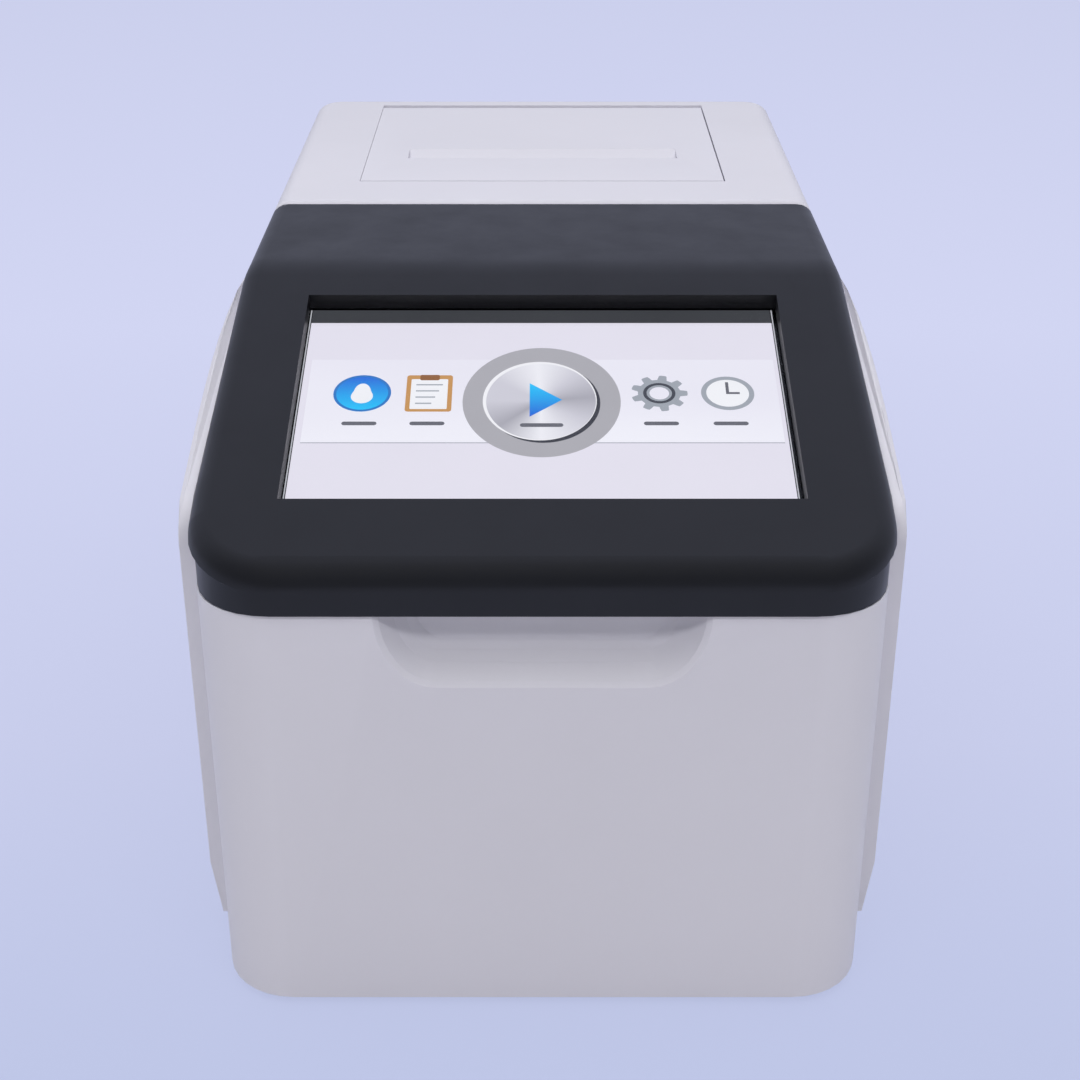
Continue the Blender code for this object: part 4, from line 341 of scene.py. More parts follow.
def round_cover_corner(bm):
    """Rounds the side cover's front top corner, seen from the side."""
    front = min(v.co.y for v in bm.verts) + COVER_FRONT_BAND
    top = max(v.co.z for v in bm.verts if v.co.y < front)
    corner = [e for e in bm.edges
              if all(v.co.y < front and v.co.z > top - COVER_TOP_BAND for v in e.verts)]
    bmesh.ops.bevel(bm, geom=corner, offset=COVER_CORNER_ROUND, segments=COVER_CORNER_STEPS,
                    affect="EDGES", profile=ROUND_PROFILE)


def reshape_door(bm):
    """Slopes the rear wall of the door's pull and widens the door to the left."""
    low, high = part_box("paper_door")
    floor = high.z - PULL_DEPTH
    pull = [v for v in bm.verts if abs(v.co.x) < PULL_REACH and abs(v.co.z - floor) < SLACK]
    rear = max(v.co.y for v in pull)
    for vert in pull:
        if vert.co.y > rear - SLACK:
            vert.co.y -= PULL_SLOPE
    for vert in bm.verts:
        if vert.co.x < low.x + SLACK:
            vert.co.x -= SEAM_FILL


def dress(name, crease=CREASE_ANGLE, edge_round=0.0, reshape=None):
    """A copy of the node with smooth normals, and with its sharp edges rounded where that is asked."""
    part = NODES[name]
    mesh = part.data.copy()
    mesh.name = name + "_smooth"
    bm = bmesh.new()
    bm.from_mesh(mesh)
    bmesh.ops.remove_doubles(bm, verts=bm.verts, dist=WELD)
    if edge_round:
        bmesh.ops.dissolve_limit(bm, angle_limit=FLAT_ANGLE, verts=bm.verts, edges=bm.edges)
    if reshape:
        reshape(bm)
    for face in bm.faces:
        face.smooth = True
    for edge in bm.edges:
        edge.smooth = edge.is_manifold and edge.calc_face_angle(math.pi) < crease
    bm.to_mesh(mesh)
    bm.free()
    shell = bpy.data.objects.new(name + "_shell", mesh)
    bpy.context.scene.collection.objects.link(shell)
    if edge_round:
        rounding = shell.modifiers.new("edge_rounding", "BEVEL")
        rounding.width = edge_round
        rounding.segments = EDGE_STEPS
        rounding.limit_method = "ANGLE"
        rounding.angle_limit = CREASE_ANGLE
        rounding.harden_normals = True
    weights = shell.modifiers.new("even_normals", "WEIGHTED_NORMAL")
    weights.mode = "FACE_AREA"
    weights.weight = NORMAL_WEIGHT
    weights.keep_sharp = True
    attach(shell, body_of_node(name))
    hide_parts(name)


SMOOTH_NODES = ("screen_bezel", "rear_cover", "disc_chamber", "turntable", "chamber_seal",
                "chamber_cover", "paper_roll", "paper_core", "paper_bucket", "platen_roller",
                "chamber_deck", "photometer_lens", "spindle_motor", "spindle_shaft", "fan_rotor",
                "lid_tray", "foot_front_left", "foot_front_right", "foot_rear_left",
                "foot_rear_right", "hinge_pin_left", "hinge_pin_right", "door_pin_left",
                "door_pin_right")
SOFT_NODES = ("side_cover_left", "side_cover_right")
dress("lower_housing", crease=HOUSING_CREASE, reshape=flatten_recess)
dress("paper_door", reshape=reshape_door)
for shell_name in SMOOTH_NODES:
    dress(shell_name)
for shell_name in SOFT_NODES:
    dress(shell_name, edge_round=COVER_EDGE_ROUND, reshape=round_cover_corner)


def add_piece(name, bm, finish, body, place=None):
    """Turns the built faces into a piece that rides a body."""
    bmesh.ops.recalc_face_normals(bm, faces=bm.faces)
    mesh = bpy.data.meshes.new(name)
    bm.to_mesh(mesh)
    bm.free()
    mesh.materials.append(finish)
    piece = bpy.data.objects.new(name, mesh)
    if place:
        piece.matrix_world = place
    bpy.context.scene.collection.objects.link(piece)
    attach(piece, body)
    return piece


# Display page: thin lit pieces between the display and the glass, in the screen's own frame
def face_frame(name):
    """Frame of a sloped plate: X across, Y up the slope, Z out of its upper face, from its middle."""
    mesh = NODES[name].data
    normal = max(mesh.polygons, key=lambda face: face.area).normal
    if normal.z < 0:
        normal = -normal
    across = Vector((1.0, 0.0, 0.0))
    along = normal.cross(across)
    turn = Matrix((across, along, normal)).transposed()
    points = [turn.transposed() @ v.co for v in mesh.vertices]
    low = Vector([min(p[i] for p in points) for i in range(3)])
    high = Vector([max(p[i] for p in points) for i in range(3)])
    center = (low + high) / 2
    middle = turn @ Vector((center.x, center.y, high.z))
    return Matrix.Translation(middle) @ turn.to_4x4()


SCREEN_FRAME = face_frame("display_module")
PAGE_HALF_WIDTH = 0.0767
PAGE_SHIFT = -0.0004
PAGE_TOP = 0.0441
STRIP_TOP = 0.0512
PAGE_BOTTOM = -0.0480
LAYER_FLOOR = 0.00002
LAYER_STEP = 0.00004
LAYER_THICKNESS = 0.00002
ARC_POINTS = 72
CORNER_POINTS = 6


def flat_piece(name, outline, level, finish, hole=None):
    """A thin closed piece over the display, from an outline, with a hole of as many points if given."""
    bm = bmesh.new()
    base = LAYER_FLOOR + LAYER_STEP * level
    top = base + LAYER_THICKNESS

    def loop(points, height):
        return [bm.verts.new((x, y, height)) for x, y in points]

    low, high = loop(outline, base), loop(outline, top)
    count = len(outline)
    for i in range(count):
        j = (i + 1) % count
        bm.faces.new((low[i], low[j], high[j], high[i]))
    if hole:
        inner_low, inner_high = loop(hole, base), loop(hole, top)
        for i in range(count):
            j = (i + 1) % count
            bm.faces.new((inner_low[j], inner_low[i], inner_high[i], inner_high[j]))
            bm.faces.new((high[i], high[j], inner_high[j], inner_high[i]))
            bm.faces.new((low[j], low[i], inner_low[i], inner_low[j]))
    else:
        bm.faces.new(high)
        bm.faces.new(low[::-1])
    add_piece(name, bm, finish, "screen_lid", SCREEN_FRAME)


def rectangle(left, right, bottom, top):
    return [(left, bottom), (right, bottom), (right, top), (left, top)]


def ellipse(x, y, half_x, half_y, count=ARC_POINTS):
    turns = [FULL_TURN * i / count for i in range(count)]
    return [(x + half_x * math.cos(a), y + half_y * math.sin(a)) for a in turns]


def soft_rectangle(x, y, half_x, half_y, corner):
    points = []
    for i, (sx, sy) in enumerate(((1, 1), (-1, 1), (-1, -1), (1, -1))):
        for k in range(CORNER_POINTS + 1):
            a = math.pi / 2 * (i + k / CORNER_POINTS)
            points.append((x + sx * (half_x - corner) + corner * math.cos(a),
                           y + sy * (half_y - corner) + corner * math.sin(a)))
    return points


def blob(x, y, radius_at, count=ARC_POINTS):
    """Closed outline with the radius given for each angle."""
    turns = [FULL_TURN * i / count for i in range(count)]
    return [(x + radius_at(a) * math.cos(a), y + radius_at(a) * math.sin(a)) for a in turns]


# Start page: its lit colours
PAGE = flat_light("page_light", "e6e3ef", 0.008)
UNLIT = flat_light("unlit_strip", "424449", 0.06)
# Painted highlight: thin glowing strips at the page's sides stand in for light on the display's metal edge
RIM_HIGHLIGHT = flat_light("rim_highlight", "b9bbc2")
BAND = lit("band_light", srgb("e9e7f3"), srgb("f4f4fc"), patch=14.0, stretch=(0.2, 1.0, 1.0))
BAND_EDGE = flat_light("band_edge", "a9abb6")
RING = flat_light("ring_light", "acabb1")
BEVEL_LIGHT = flat_light("disc_edge", "f4f4f8")
BEVEL_SHADE = flat_light("disc_shadow", "2f3037")
BLUE_LOW, BLUE_HIGH = srgb("005cd8"), srgb("00c8ff")
BLUE_DEEP = flat_light("deep_blue", "1173c4")
INK = flat_light("bar_ink", "63646c")
TAN = flat_light("tan_mark", "c8924e")
TAN_DEEP = flat_light("deep_tan", "8f5a20")
WHITE_LIGHT = flat_light("white_mark", "f3f4f8")
STONE = flat_light("stone_mark", "9fa5ae")
SLATE = flat_light("slate_mark", "3a3d45")
DISC_PALE, DISC_MID, DISC_DIM = srgb("f0f0f6"), srgb("cfced8"), srgb("a9a8b2")
DISC_PLACES = (0.0, 0.12, 0.25, 0.4, 0.52, 0.64, 0.76, 0.9)
DISC_COLORS = (DISC_MID, DISC_DIM, DISC_PALE, DISC_MID, DISC_DIM, DISC_MID, DISC_PALE, DISC_MID)

# Start page: places and sizes, across and up the screen from the display's middle
DISC_X, DISC_Y = -0.0005, 0.0028
RING_X, RING_Y = -0.0003, 0.0030
RING_HALF = (0.0251, 0.0274)
DISC_HALF = (0.0174, 0.0190)
DISC_RIM = 0.0007
SHADE_SHIFT = 0.0007
EDGE_SHIFT = 0.0004
START_SHIFT_X, START_SHIFT_Y = 0.0009, 0.0005
START_LEFT, START_TIP, START_HALF = 0.0045, 0.0058, 0.0084
START_BAR_HALF, START_BAR_DROP = 0.0068, 0.0010
# Painted edge highlights: their near and far offsets from the page's sides
RIM_HIGHLIGHT_NEAR, RIM_HIGHLIGHT_FAR = 0.0003, 0.0007
BAND_HALF_WIDTH, BAND_TOP, BAND_BOTTOM = 0.0750, 0.0242, -0.0173
BAND_LINE = 0.0004
ICON_Y = 0.0068
ICON_HALF = 0.0092
LABEL_Y = -0.0082
LABEL_HALF = (0.0055, 0.0009)
DROP_ICON_X, LIST_ICON_X = -0.0575, -0.0362
GEAR_ICON_X, CLOCK_ICON_X = 0.0372, 0.0590


def disc_light():
    """Lit like a brushed disc, with pale and grey sectors round its middle."""
    mat, tree, shader = new_material("brushed_disc")
    coords = tree.nodes.new("ShaderNodeTexCoord")
    mapping = tree.nodes.new("ShaderNodeMapping")
    mapping.inputs["Location"].default_value = (-DISC_X, -DISC_Y, 0.0)
    tree.links.new(coords.outputs["Object"], mapping.inputs["Vector"])
    sweep = node(tree, "ShaderNodeTexGradient", {"gradient_type": "RADIAL"})
    tree.links.new(mapping.outputs["Vector"], sweep.inputs["Vector"])
    light_up(tree, shader, ramp(tree, sweep.outputs["Fac"], DISC_PLACES, DISC_COLORS))
    return mat


def make_page():
    half = PAGE_HALF_WIDTH
    left, right = PAGE_SHIFT - half, PAGE_SHIFT + half
    flat_piece("page", rectangle(left, right, PAGE_BOTTOM, PAGE_TOP), 0, PAGE)
    flat_piece("unlit_top", rectangle(left, right, PAGE_TOP, STRIP_TOP), 0, UNLIT)
    # Painted highlights on the display's metal edge, as thin glowing strips beside the page
    for side, x in (("left", left), ("right", right)):
        outward = -1 if side == "left" else 1
        edge, outer = x + outward * RIM_HIGHLIGHT_NEAR, x + outward * RIM_HIGHLIGHT_FAR
        flat_piece("rim_highlight_" + side,
                   rectangle(min(edge, outer), max(edge, outer), PAGE_BOTTOM, STRIP_TOP), 0, RIM_HIGHLIGHT)
    reach = BAND_HALF_WIDTH
    flat_piece("band", rectangle(-reach, reach, BAND_BOTTOM, BAND_TOP), 1, BAND)
    flat_piece("band_line", rectangle(-reach, reach, BAND_BOTTOM - BAND_LINE, BAND_BOTTOM), 1, BAND_EDGE)


def make_start_button():
    flat_piece("button_ring", ellipse(RING_X, RING_Y, *RING_HALF), 2, RING)
    rim = (DISC_HALF[0] + DISC_RIM, DISC_HALF[1] + DISC_RIM)
    flat_piece("button_shadow", ellipse(DISC_X + SHADE_SHIFT, DISC_Y - SHADE_SHIFT, *rim), 3,
               BEVEL_SHADE)
    flat_piece("button_edge", ellipse(DISC_X - EDGE_SHIFT, DISC_Y + EDGE_SHIFT, *rim), 4, BEVEL_LIGHT)
    flat_piece("button_disc", ellipse(DISC_X, DISC_Y, *DISC_HALF), 5, disc_light())
    x, y = DISC_X + START_SHIFT_X, DISC_Y + START_SHIFT_Y
    left, low, high = x - START_LEFT, y - START_HALF, y + START_HALF
    blue = graded_light("start_blue", BLUE_LOW, BLUE_HIGH, low, high)
    flat_piece("start_mark", [(left, low), (x + START_TIP, y), (left, high)], 6, blue)
    bar = soft_rectangle(RING_X, LABEL_Y - START_BAR_DROP, START_BAR_HALF, LABEL_HALF[1], LABEL_HALF[1])
    flat_piece("start_bar", bar, 6, INK)


def label(name, x):
    flat_piece(name + "_bar", soft_rectangle(x, LABEL_Y, *LABEL_HALF, LABEL_HALF[1]), 2, INK)


# Icons: shares of their half size, and corners and line widths in metres
DROP_RIM_SHARE = 0.9
DROP_LOWER_SHARE = 0.175
DROP_ROUND_SHARE, DROP_TIP_SHARE = 0.38, 0.32
DROP_TIP_POWER = 6
BOARD_SHARE, BOARD_CORNER = 0.8, 0.0010
SHEET_SHARES, SHEET_CORNER, SHEET_DROP = (0.64, 0.82), 0.0004, 0.0004
CLIP_SHARES, CLIP_CORNER, CLIP_Y_SHARE = (0.34, 0.15), 0.0006, 0.86
LIST_ROWS = 4
LIST_REACH_SHARE, LIST_STEP_SHARE, LIST_SHORTER_SHARE = 0.46, 0.34, 0.12
LIST_LINE_HALF = 0.0003
GEAR_TEETH, GEAR_POINTS_PER_TOOTH = 9, 16
GEAR_SHARE, GEAR_TOOTH_SHARE, GEAR_TOOTH_STEEPNESS = 0.86, 0.12, 2.4
GEAR_BORE_SHARE = 0.34
GEAR_RING_SHARES = (0.56, 0.44)
CLOCK_FACE_SHARE = 0.8
CLOCK_RING_SHARES = (0.92, 0.74)
CLOCK_HAND_HALF = 0.0005
CLOCK_LONG_SHARE, CLOCK_SHORT_SHARE = 0.6, 0.42


def icon_circle(x, share, count=ARC_POINTS):
    return ellipse(x, ICON_Y, ICON_HALF * share, ICON_HALF * share, count)


def make_drop_icon(x):
    """Blue disc with a white drop: samples."""
    blue = graded_light("sample_blue", BLUE_HIGH, BLUE_LOW, ICON_Y - ICON_HALF, ICON_Y + ICON_HALF)
    flat_piece("sample_disc", icon_circle(x, 1.0), 2, blue)
    flat_piece("sample_disc_rim", icon_circle(x, 1.0), 3, BLUE_DEEP, icon_circle(x, DROP_RIM_SHARE))

    def radius(angle):
        up = max(0.0, math.sin(angle))
        return ICON_HALF * (DROP_ROUND_SHARE + DROP_TIP_SHARE * up ** DROP_TIP_POWER)

    flat_piece("sample_drop", blob(x, ICON_Y - ICON_HALF * DROP_LOWER_SHARE, radius), 4, WHITE_LIGHT)
    label("sample", x)


def make_list_icon(x):
    """Tan board with pale lines: results."""
    board = soft_rectangle(x, ICON_Y, ICON_HALF * BOARD_SHARE, ICON_HALF, BOARD_CORNER)
    flat_piece("list_board", board, 2, TAN)
    half_x, half_y = [ICON_HALF * share for share in SHEET_SHARES]
    sheet = soft_rectangle(x, ICON_Y - SHEET_DROP, half_x, half_y, SHEET_CORNER)
    flat_piece("list_sheet", sheet, 3, WHITE_LIGHT)
    half_x, half_y = [ICON_HALF * share for share in CLIP_SHARES]
    clip = soft_rectangle(x, ICON_Y + ICON_HALF * CLIP_Y_SHARE, half_x, half_y, CLIP_CORNER)
    flat_piece("list_clip", clip, 4, TAN_DEEP)
    left = x - ICON_HALF * LIST_REACH_SHARE
    for row in range(LIST_ROWS):
        y = ICON_Y + ICON_HALF * (LIST_REACH_SHARE - LIST_STEP_SHARE * row)
        right = x + ICON_HALF * (LIST_REACH_SHARE - LIST_SHORTER_SHARE * row)
        flat_piece("list_line_" + str(row + 1),
                   rectangle(left, right, y - LIST_LINE_HALF, y + LIST_LINE_HALF), 4, STONE)
    label("list", x)


def make_gear_icon(x):
    """Grey gear: settings."""
    def radius(angle):
        wave = GEAR_TOOTH_STEEPNESS * math.cos(GEAR_TEETH * angle)
        return ICON_HALF * (GEAR_SHARE + GEAR_TOOTH_SHARE * max(-1.0, min(1.0, wave)))

    count = GEAR_TEETH * GEAR_POINTS_PER_TOOTH
    bore = icon_circle(x, GEAR_BORE_SHARE, count)
    flat_piece("gear_wheel", blob(x, ICON_Y, radius, count), 2, STONE, bore)
    outer, inner = [icon_circle(x, share) for share in GEAR_RING_SHARES]
    flat_piece("gear_ring", outer, 3, SLATE, inner)
    label("gear", x)


def make_clock_icon(x):
    """Grey ring with two hands: past tests."""
    flat_piece("clock_face", icon_circle(x, CLOCK_FACE_SHARE), 2, WHITE_LIGHT)
    outer, inner = [icon_circle(x, share) for share in CLOCK_RING_SHARES]
    flat_piece("clock_ring", outer, 3, STONE, inner)
    hand, low = CLOCK_HAND_HALF, ICON_Y - CLOCK_HAND_HALF
    up, right = ICON_Y + ICON_HALF * CLOCK_LONG_SHARE, x + ICON_HALF * CLOCK_SHORT_SHARE
    flat_piece("clock_long_hand", rectangle(x - hand, x + hand, low, up), 4, INK)
    flat_piece("clock_short_hand", rectangle(x + hand, right, low, ICON_Y + hand), 4, INK)
    label("clock", x)


make_page()
make_start_button()
make_drop_icon(DROP_ICON_X)
make_list_icon(LIST_ICON_X)
make_gear_icon(GEAR_ICON_X)
make_clock_icon(CLOCK_ICON_X)


# Small pieces on the outside and in the open bays
GOLD = surface("plated_contact", srgb("d9b65c"), 0.3, metallic=1.0, spread=0.06)
MARK = surface("printed_mark", srgb("e9e9ec"), 0.5, spread=0.02)
REVEAL = 0.0003
SCREW_RADIUS = 0.0024
SCREW_HEIGHT = 0.0013
SCREW_SLOT_SHARE = 0.18
SCREW_SLOT_REACH_SHARE = 0.62
SCREW_SLOT_FLOOR_SHARE = 0.25
SCREW_PROFILE_SHARES = ((1.0, -0.2), (1.0, 0.45), (0.9, 0.8), (0.68, 1.0))
SCREW_SIDES = 28
SOFTEN_STEPS = 2


def prism(outline, low, high):
    """Closed solid between two heights over an outline."""
    bm = bmesh.new()
    bottom = [bm.verts.new((x, y, low)) for x, y in outline]
    top = [bm.verts.new((x, y, high)) for x, y in outline]
    for i in range(len(outline)):
        j = (i + 1) % len(outline)
        bm.faces.new((bottom[i], bottom[j], top[j], top[i]))
    bm.faces.new(top)
    bm.faces.new(bottom[::-1])
    return bm


def soften(piece, width):
    rounding = piece.modifiers.new("edge_rounding", "BEVEL")
    rounding.width = width
    rounding.segments = SOFTEN_STEPS
    rounding.limit_method = "ANGLE"
    rounding.harden_normals = True
    for face in piece.data.polygons:
        face.use_smooth = True


def skin_of(name):
    mesh = NODES[name].data
    return BVHTree.FromPolygons([v.co for v in mesh.vertices], [list(f.vertices) for f in mesh.polygons])


def seat_on(skin, start, direction):
    """Frame on the face that the ray meets, with Z out of it."""
    spot, normal = skin.ray_cast(Vector(start), Vector(direction))[:2]
    if normal.dot(Vector(direction)) > 0:
        normal = -normal
    return Matrix.Translation(spot) @ normal.to_track_quat("Z", "Y").to_matrix().to_4x4()


def screw_mesh(height):
    """Pan head with a cross slot, cut from a turned head."""
    bm = bmesh.new()
    rings = []
    for share, level in SCREW_PROFILE_SHARES:
        radius = share * SCREW_RADIUS
        rings.append([bm.verts.new((x, y, level * height))
                      for x, y in ellipse(0, 0, radius, radius, SCREW_SIDES)])
    for lower, upper in zip(rings, rings[1:]):
        for i in range(SCREW_SIDES):
            j = (i + 1) % SCREW_SIDES
            bm.faces.new((lower[i], lower[j], upper[j], upper[i]))
    bm.faces.new(rings[0][::-1])
    bm.faces.new(rings[-1])
    head = bpy.data.meshes.new("screw_head")
    bm.to_mesh(head)
    bm.free()
    arm, reach = SCREW_RADIUS * SCREW_SLOT_SHARE, SCREW_RADIUS * SCREW_SLOT_REACH_SHARE
    cross = [(arm, arm), (arm, reach), (-arm, reach), (-arm, arm), (-reach, arm), (-reach, -arm),
             (-arm, -arm), (-arm, -reach), (arm, -reach), (arm, -arm), (reach, -arm), (reach, arm)]
    cutter_bm = prism(cross, height * SCREW_SLOT_FLOOR_SHARE, height * 2)
    bmesh.ops.recalc_face_normals(cutter_bm, faces=cutter_bm.faces)
    cutter_mesh = bpy.data.meshes.new("cross_slot")
    cutter_bm.to_mesh(cutter_mesh)
    cutter_bm.free()
    holder, cutter = bpy.data.objects.new("head", head), bpy.data.objects.new("cross", cutter_mesh)
    for part in (holder, cutter):
        bpy.context.scene.collection.objects.link(part)
    cut = holder.modifiers.new("slot", "BOOLEAN")
    cut.object = cutter
    cut.operation = "DIFFERENCE"
    cut.solver = "EXACT"
    bpy.context.view_layer.update()
    made = bpy.data.meshes.new_from_object(holder.evaluated_get(bpy.context.evaluated_depsgraph_get()))
    bpy.data.objects.remove(holder)
    bpy.data.objects.remove(cutter)
    made.materials.clear()
    made.materials.append(STEEL)
    return made


def add_screws(group, node_name, body, starts, direction, height=SCREW_HEIGHT):
    head = screw_mesh(height)
    skin = skin_of(node_name)
    for number, start in enumerate(starts, 1):
        piece = bpy.data.objects.new(group + "_screw_" + str(number), head)
        piece.matrix_world = seat_on(skin, start, direction)
        bpy.context.scene.collection.objects.link(piece)
        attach(piece, body)


PANEL_LOW, PANEL_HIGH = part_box("rear_panel")
FAN_LOW, FAN_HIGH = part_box("fan_frame")
BASE_LOW, BASE_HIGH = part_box("base_plate")
TRAY_LOW, TRAY_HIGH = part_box("lid_tray")
PANEL_SCREW_EDGE = 0.0055
PANEL_SCREW_HEIGHT = 0.00026
FAN_SCREW_EDGE = 0.0050
BASE_SCREW_EDGE = 0.0095
BASE_SCREW_SHARE = 0.62
TRAY_SCREW_X_SHARE = 0.9
TRAY_SCREW_Y_SHARES = (0.66, 0.36)
BEYOND = 0.02


def make_screws():
    behind, below = PANEL_HIGH.y + BEYOND, BASE_LOW.z - BEYOND
    for group, low, high, edge in (("panel", PANEL_LOW, PANEL_HIGH, PANEL_SCREW_EDGE),
                                   ("fan", FAN_LOW, FAN_HIGH, FAN_SCREW_EDGE)):
        starts = [(x, behind, z) for x in (low.x + edge, high.x - edge)
                  for z in (low.z + edge, high.z - edge)]
        add_screws(group, "rear_panel", "body", starts, (0, -1, 0), PANEL_SCREW_HEIGHT)
    xs = (BASE_LOW.x + BASE_SCREW_EDGE, BASE_HIGH.x - BASE_SCREW_EDGE)
    ys = (BASE_LOW.y * BASE_SCREW_SHARE, 0.0, BASE_HIGH.y * BASE_SCREW_SHARE)
    add_screws("base", "base_plate", "body", [(x, y, below) for x in xs for y in ys], (0, 0, 1))
    xs = (TRAY_LOW.x * TRAY_SCREW_X_SHARE, TRAY_HIGH.x * TRAY_SCREW_X_SHARE)
    starts = [(x, TRAY_LOW.y * share, HOUSING_LOW.z) for x in xs for share in TRAY_SCREW_Y_SHARES]
    add_screws("tray", "lid_tray", "screen_lid", starts, (0, 0, 1))


DECK_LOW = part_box("chamber_deck")[0]
KEEPER_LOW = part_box("keeper_left")[0]
HOUSING_INNER_CORNER = 0.0205
RECESS_ZONE_HALF = 0.08
RECESS_ZONE_FRONT_SHARE = 0.25
APRON_CORNER_STEPS = 10


def make_deck_aprons():
    """Two plates beside the finger recess that close the deck in front, up to the housing."""
    top = KEEPER_LOW.z - REVEAL
    zone_front = BASE_LOW.y + HOUSING_INNER_CORNER * RECESS_ZONE_FRONT_SHARE
    recess = [abs(v.co.x) for v in NODES["lower_housing"].data.vertices
              if v.co.z > DECK_LOW.z - BEYOND and zone_front < v.co.y < DECK_LOW.y
              and abs(v.co.x) < RECESS_ZONE_HALF]
    inner = max(recess) + REVEAL
    back, front, outer = DECK_LOW.y - REVEAL, BASE_LOW.y, BASE_HIGH.x
    radius = HOUSING_INNER_CORNER
    for name, side in (("left", -1), ("right", 1)):
        corner = [(outer - radius + radius * math.sin(a), front + radius - radius * math.cos(a))
                  for a in [math.pi / 2 * i / APRON_CORNER_STEPS for i in range(APRON_CORNER_STEPS + 1)]]
        corner = [(x, y) for x, y in corner if y < back]
        limit = math.acos(max(-1.0, min(1.0, (front + radius - back) / radius)))
        edge = (outer - radius + radius * math.sin(limit), back)
        outline = [(inner, back), (inner, front)] + corner + [edge]
        plate = prism([(side * x, y) for x, y in outline], DECK_LOW.z, top)
        soften(add_piece("deck_apron_" + name, plate, GREY, "body"), REVEAL)


USB_LOW, USB_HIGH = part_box("usb_socket")
LAN_LOW, LAN_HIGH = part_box("lan_socket")
USB_PORT_SHARES = (0.26, 0.74)
USB_TONGUE_HALF = 0.0050
USB_TONGUE_THICKNESS = 0.0018
USB_TONGUE_RISE = 0.00025
USB_TONGUE_INSET = 0.0012
USB_CONTACTS = 4
USB_CONTACT_PITCH = 0.0022
USB_CONTACT_HALF = 0.0005
LAN_CONTACTS = 8
LAN_CONTACT_PITCH = 0.0010
LAN_CONTACT_HALF = 0.0002
LAN_CONTACT_LEVEL = 0.0098
LAN_CONTACT_REAR, LAN_CONTACT_FRONT = 0.0115, 0.0030
SOCKET_DEPTH = 0.0105
CONTACT_THICKNESS = 0.0002


def strip(name, middle, half, y_range, low, thickness, finish):
    outline = rectangle(middle - half, middle + half, *y_range)
    return add_piece(name, prism(outline, low, low + thickness), finish, "body")


def contact_row(group, middle, count, pitch, half, y_range, low):
    for k in range(count):
        x = middle + (k - (count - 1) / 2) * pitch
        strip(group + "_" + str(k + 1), x, half, y_range, low, CONTACT_THICKNESS, GOLD)


def make_contacts():
    middle = (USB_LOW.x + USB_HIGH.x) / 2
    back, front = USB_HIGH.y - SOCKET_DEPTH, USB_HIGH.y - USB_TONGUE_INSET
    for number, share in enumerate(USB_PORT_SHARES, 1):
        low = USB_LOW.z + (USB_HIGH.z - USB_LOW.z) * share + USB_TONGUE_RISE
        tongue = strip("usb_tongue_" + str(number), middle, USB_TONGUE_HALF, (back, front), low,
                       USB_TONGUE_THICKNESS, WHITE)
        soften(tongue, REVEAL)
        contact_row("usb_contact_" + str(number), middle, USB_CONTACTS, USB_CONTACT_PITCH,
                    USB_CONTACT_HALF, (back, front - REVEAL * 2), low - CONTACT_THICKNESS)
    middle = (LAN_LOW.x + LAN_HIGH.x) / 2
    back, front = LAN_HIGH.y - LAN_CONTACT_REAR, LAN_HIGH.y - LAN_CONTACT_FRONT
    contact_row("lan_contact", middle, LAN_CONTACTS, LAN_CONTACT_PITCH, LAN_CONTACT_HALF, (back, front),
                LAN_LOW.z + LAN_CONTACT_LEVEL)


SWITCH_LOW, SWITCH_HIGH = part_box("power_switch")
MARK_THICKNESS = 0.00006
MARK_HALF = 0.0012
MARK_STROKE = 0.00022
MARK_SIDES = 32
MARK_HEIGHT_SHARES = (0.78, 0.22)


def make_switch_marks():
    """The usual line and ring of a mains switch, seated on the two halves of the rocker."""
    skin = skin_of("power_switch")
    middle_x = (SWITCH_LOW.x + SWITCH_HIGH.x) / 2
    height = SWITCH_HIGH.z - SWITCH_LOW.z
    line_seat, ring_seat = [
        seat_on(skin, (middle_x, SWITCH_HIGH.y + BEYOND, SWITCH_LOW.z + height * share), (0, -1, 0))
        for share in MARK_HEIGHT_SHARES]
    line = prism(rectangle(-MARK_STROKE, MARK_STROKE, -MARK_HALF, MARK_HALF), 0.0, MARK_THICKNESS)
    add_piece("switch_line", line, MARK, "rocker", line_seat)
    bm = bmesh.new()
    outer, inner = MARK_HALF, MARK_HALF - 2 * MARK_STROKE
    loops = [[bm.verts.new((x, y, z)) for x, y in ellipse(0, 0, r, r, MARK_SIDES)]
             for r, z in ((outer, 0.0), (outer, MARK_THICKNESS), (inner, MARK_THICKNESS), (inner, 0.0))]
    for first, second in zip(loops, loops[1:] + loops[:1]):
        for i in range(MARK_SIDES):
            j = (i + 1) % MARK_SIDES
            bm.faces.new((first[i], first[j], second[j], second[i]))
    add_piece("switch_ring", bm, MARK, "rocker", ring_seat)


make_screws()
make_deck_aprons()
make_contacts()
make_switch_marks()

# Floor, world and lamps
FLOOR_HALF = 6.0
FLOOR_PLACES = (-0.85, -0.23, -0.04, 0.43, 3.0)
FLOOR_COLORS = ("c8cdeb", "bfc7e7", "c9ceec", "d4d8f5", "cfd4f2")
FADE_START, FADE_END = 2.2, 5.5
FLOOR_ROUGHNESS = 0.9
FLOOR_SELF_SHARE = 0.85
FLOOR_NEUTRAL = "e8e7ec"
WORLD_NEUTRAL = "e8e8ee"
WORLD_SEEN = "d6dbf6"
BACKDROP = "c8cdeb"
WORLD_PLACES = (0.0, 0.35, 0.5, 0.75, 1.0)
WORLD_SHADES = (0.12, 0.15, 0.60, 0.88, 0.70)
LAMP_AIM = (0.0, 0.0, 0.1)
TOP_LAMP_PLACE, TOP_LAMP_SIZE, TOP_LAMP_POWER = (0.0, -0.35, 1.6), (1.5, 1.2), 12.0
FRONT_LAMP_PLACE, FRONT_LAMP_SIZE, FRONT_LAMP_POWER = (0.0, -1.45, 1.7), (2.8, 0.3), 17.5
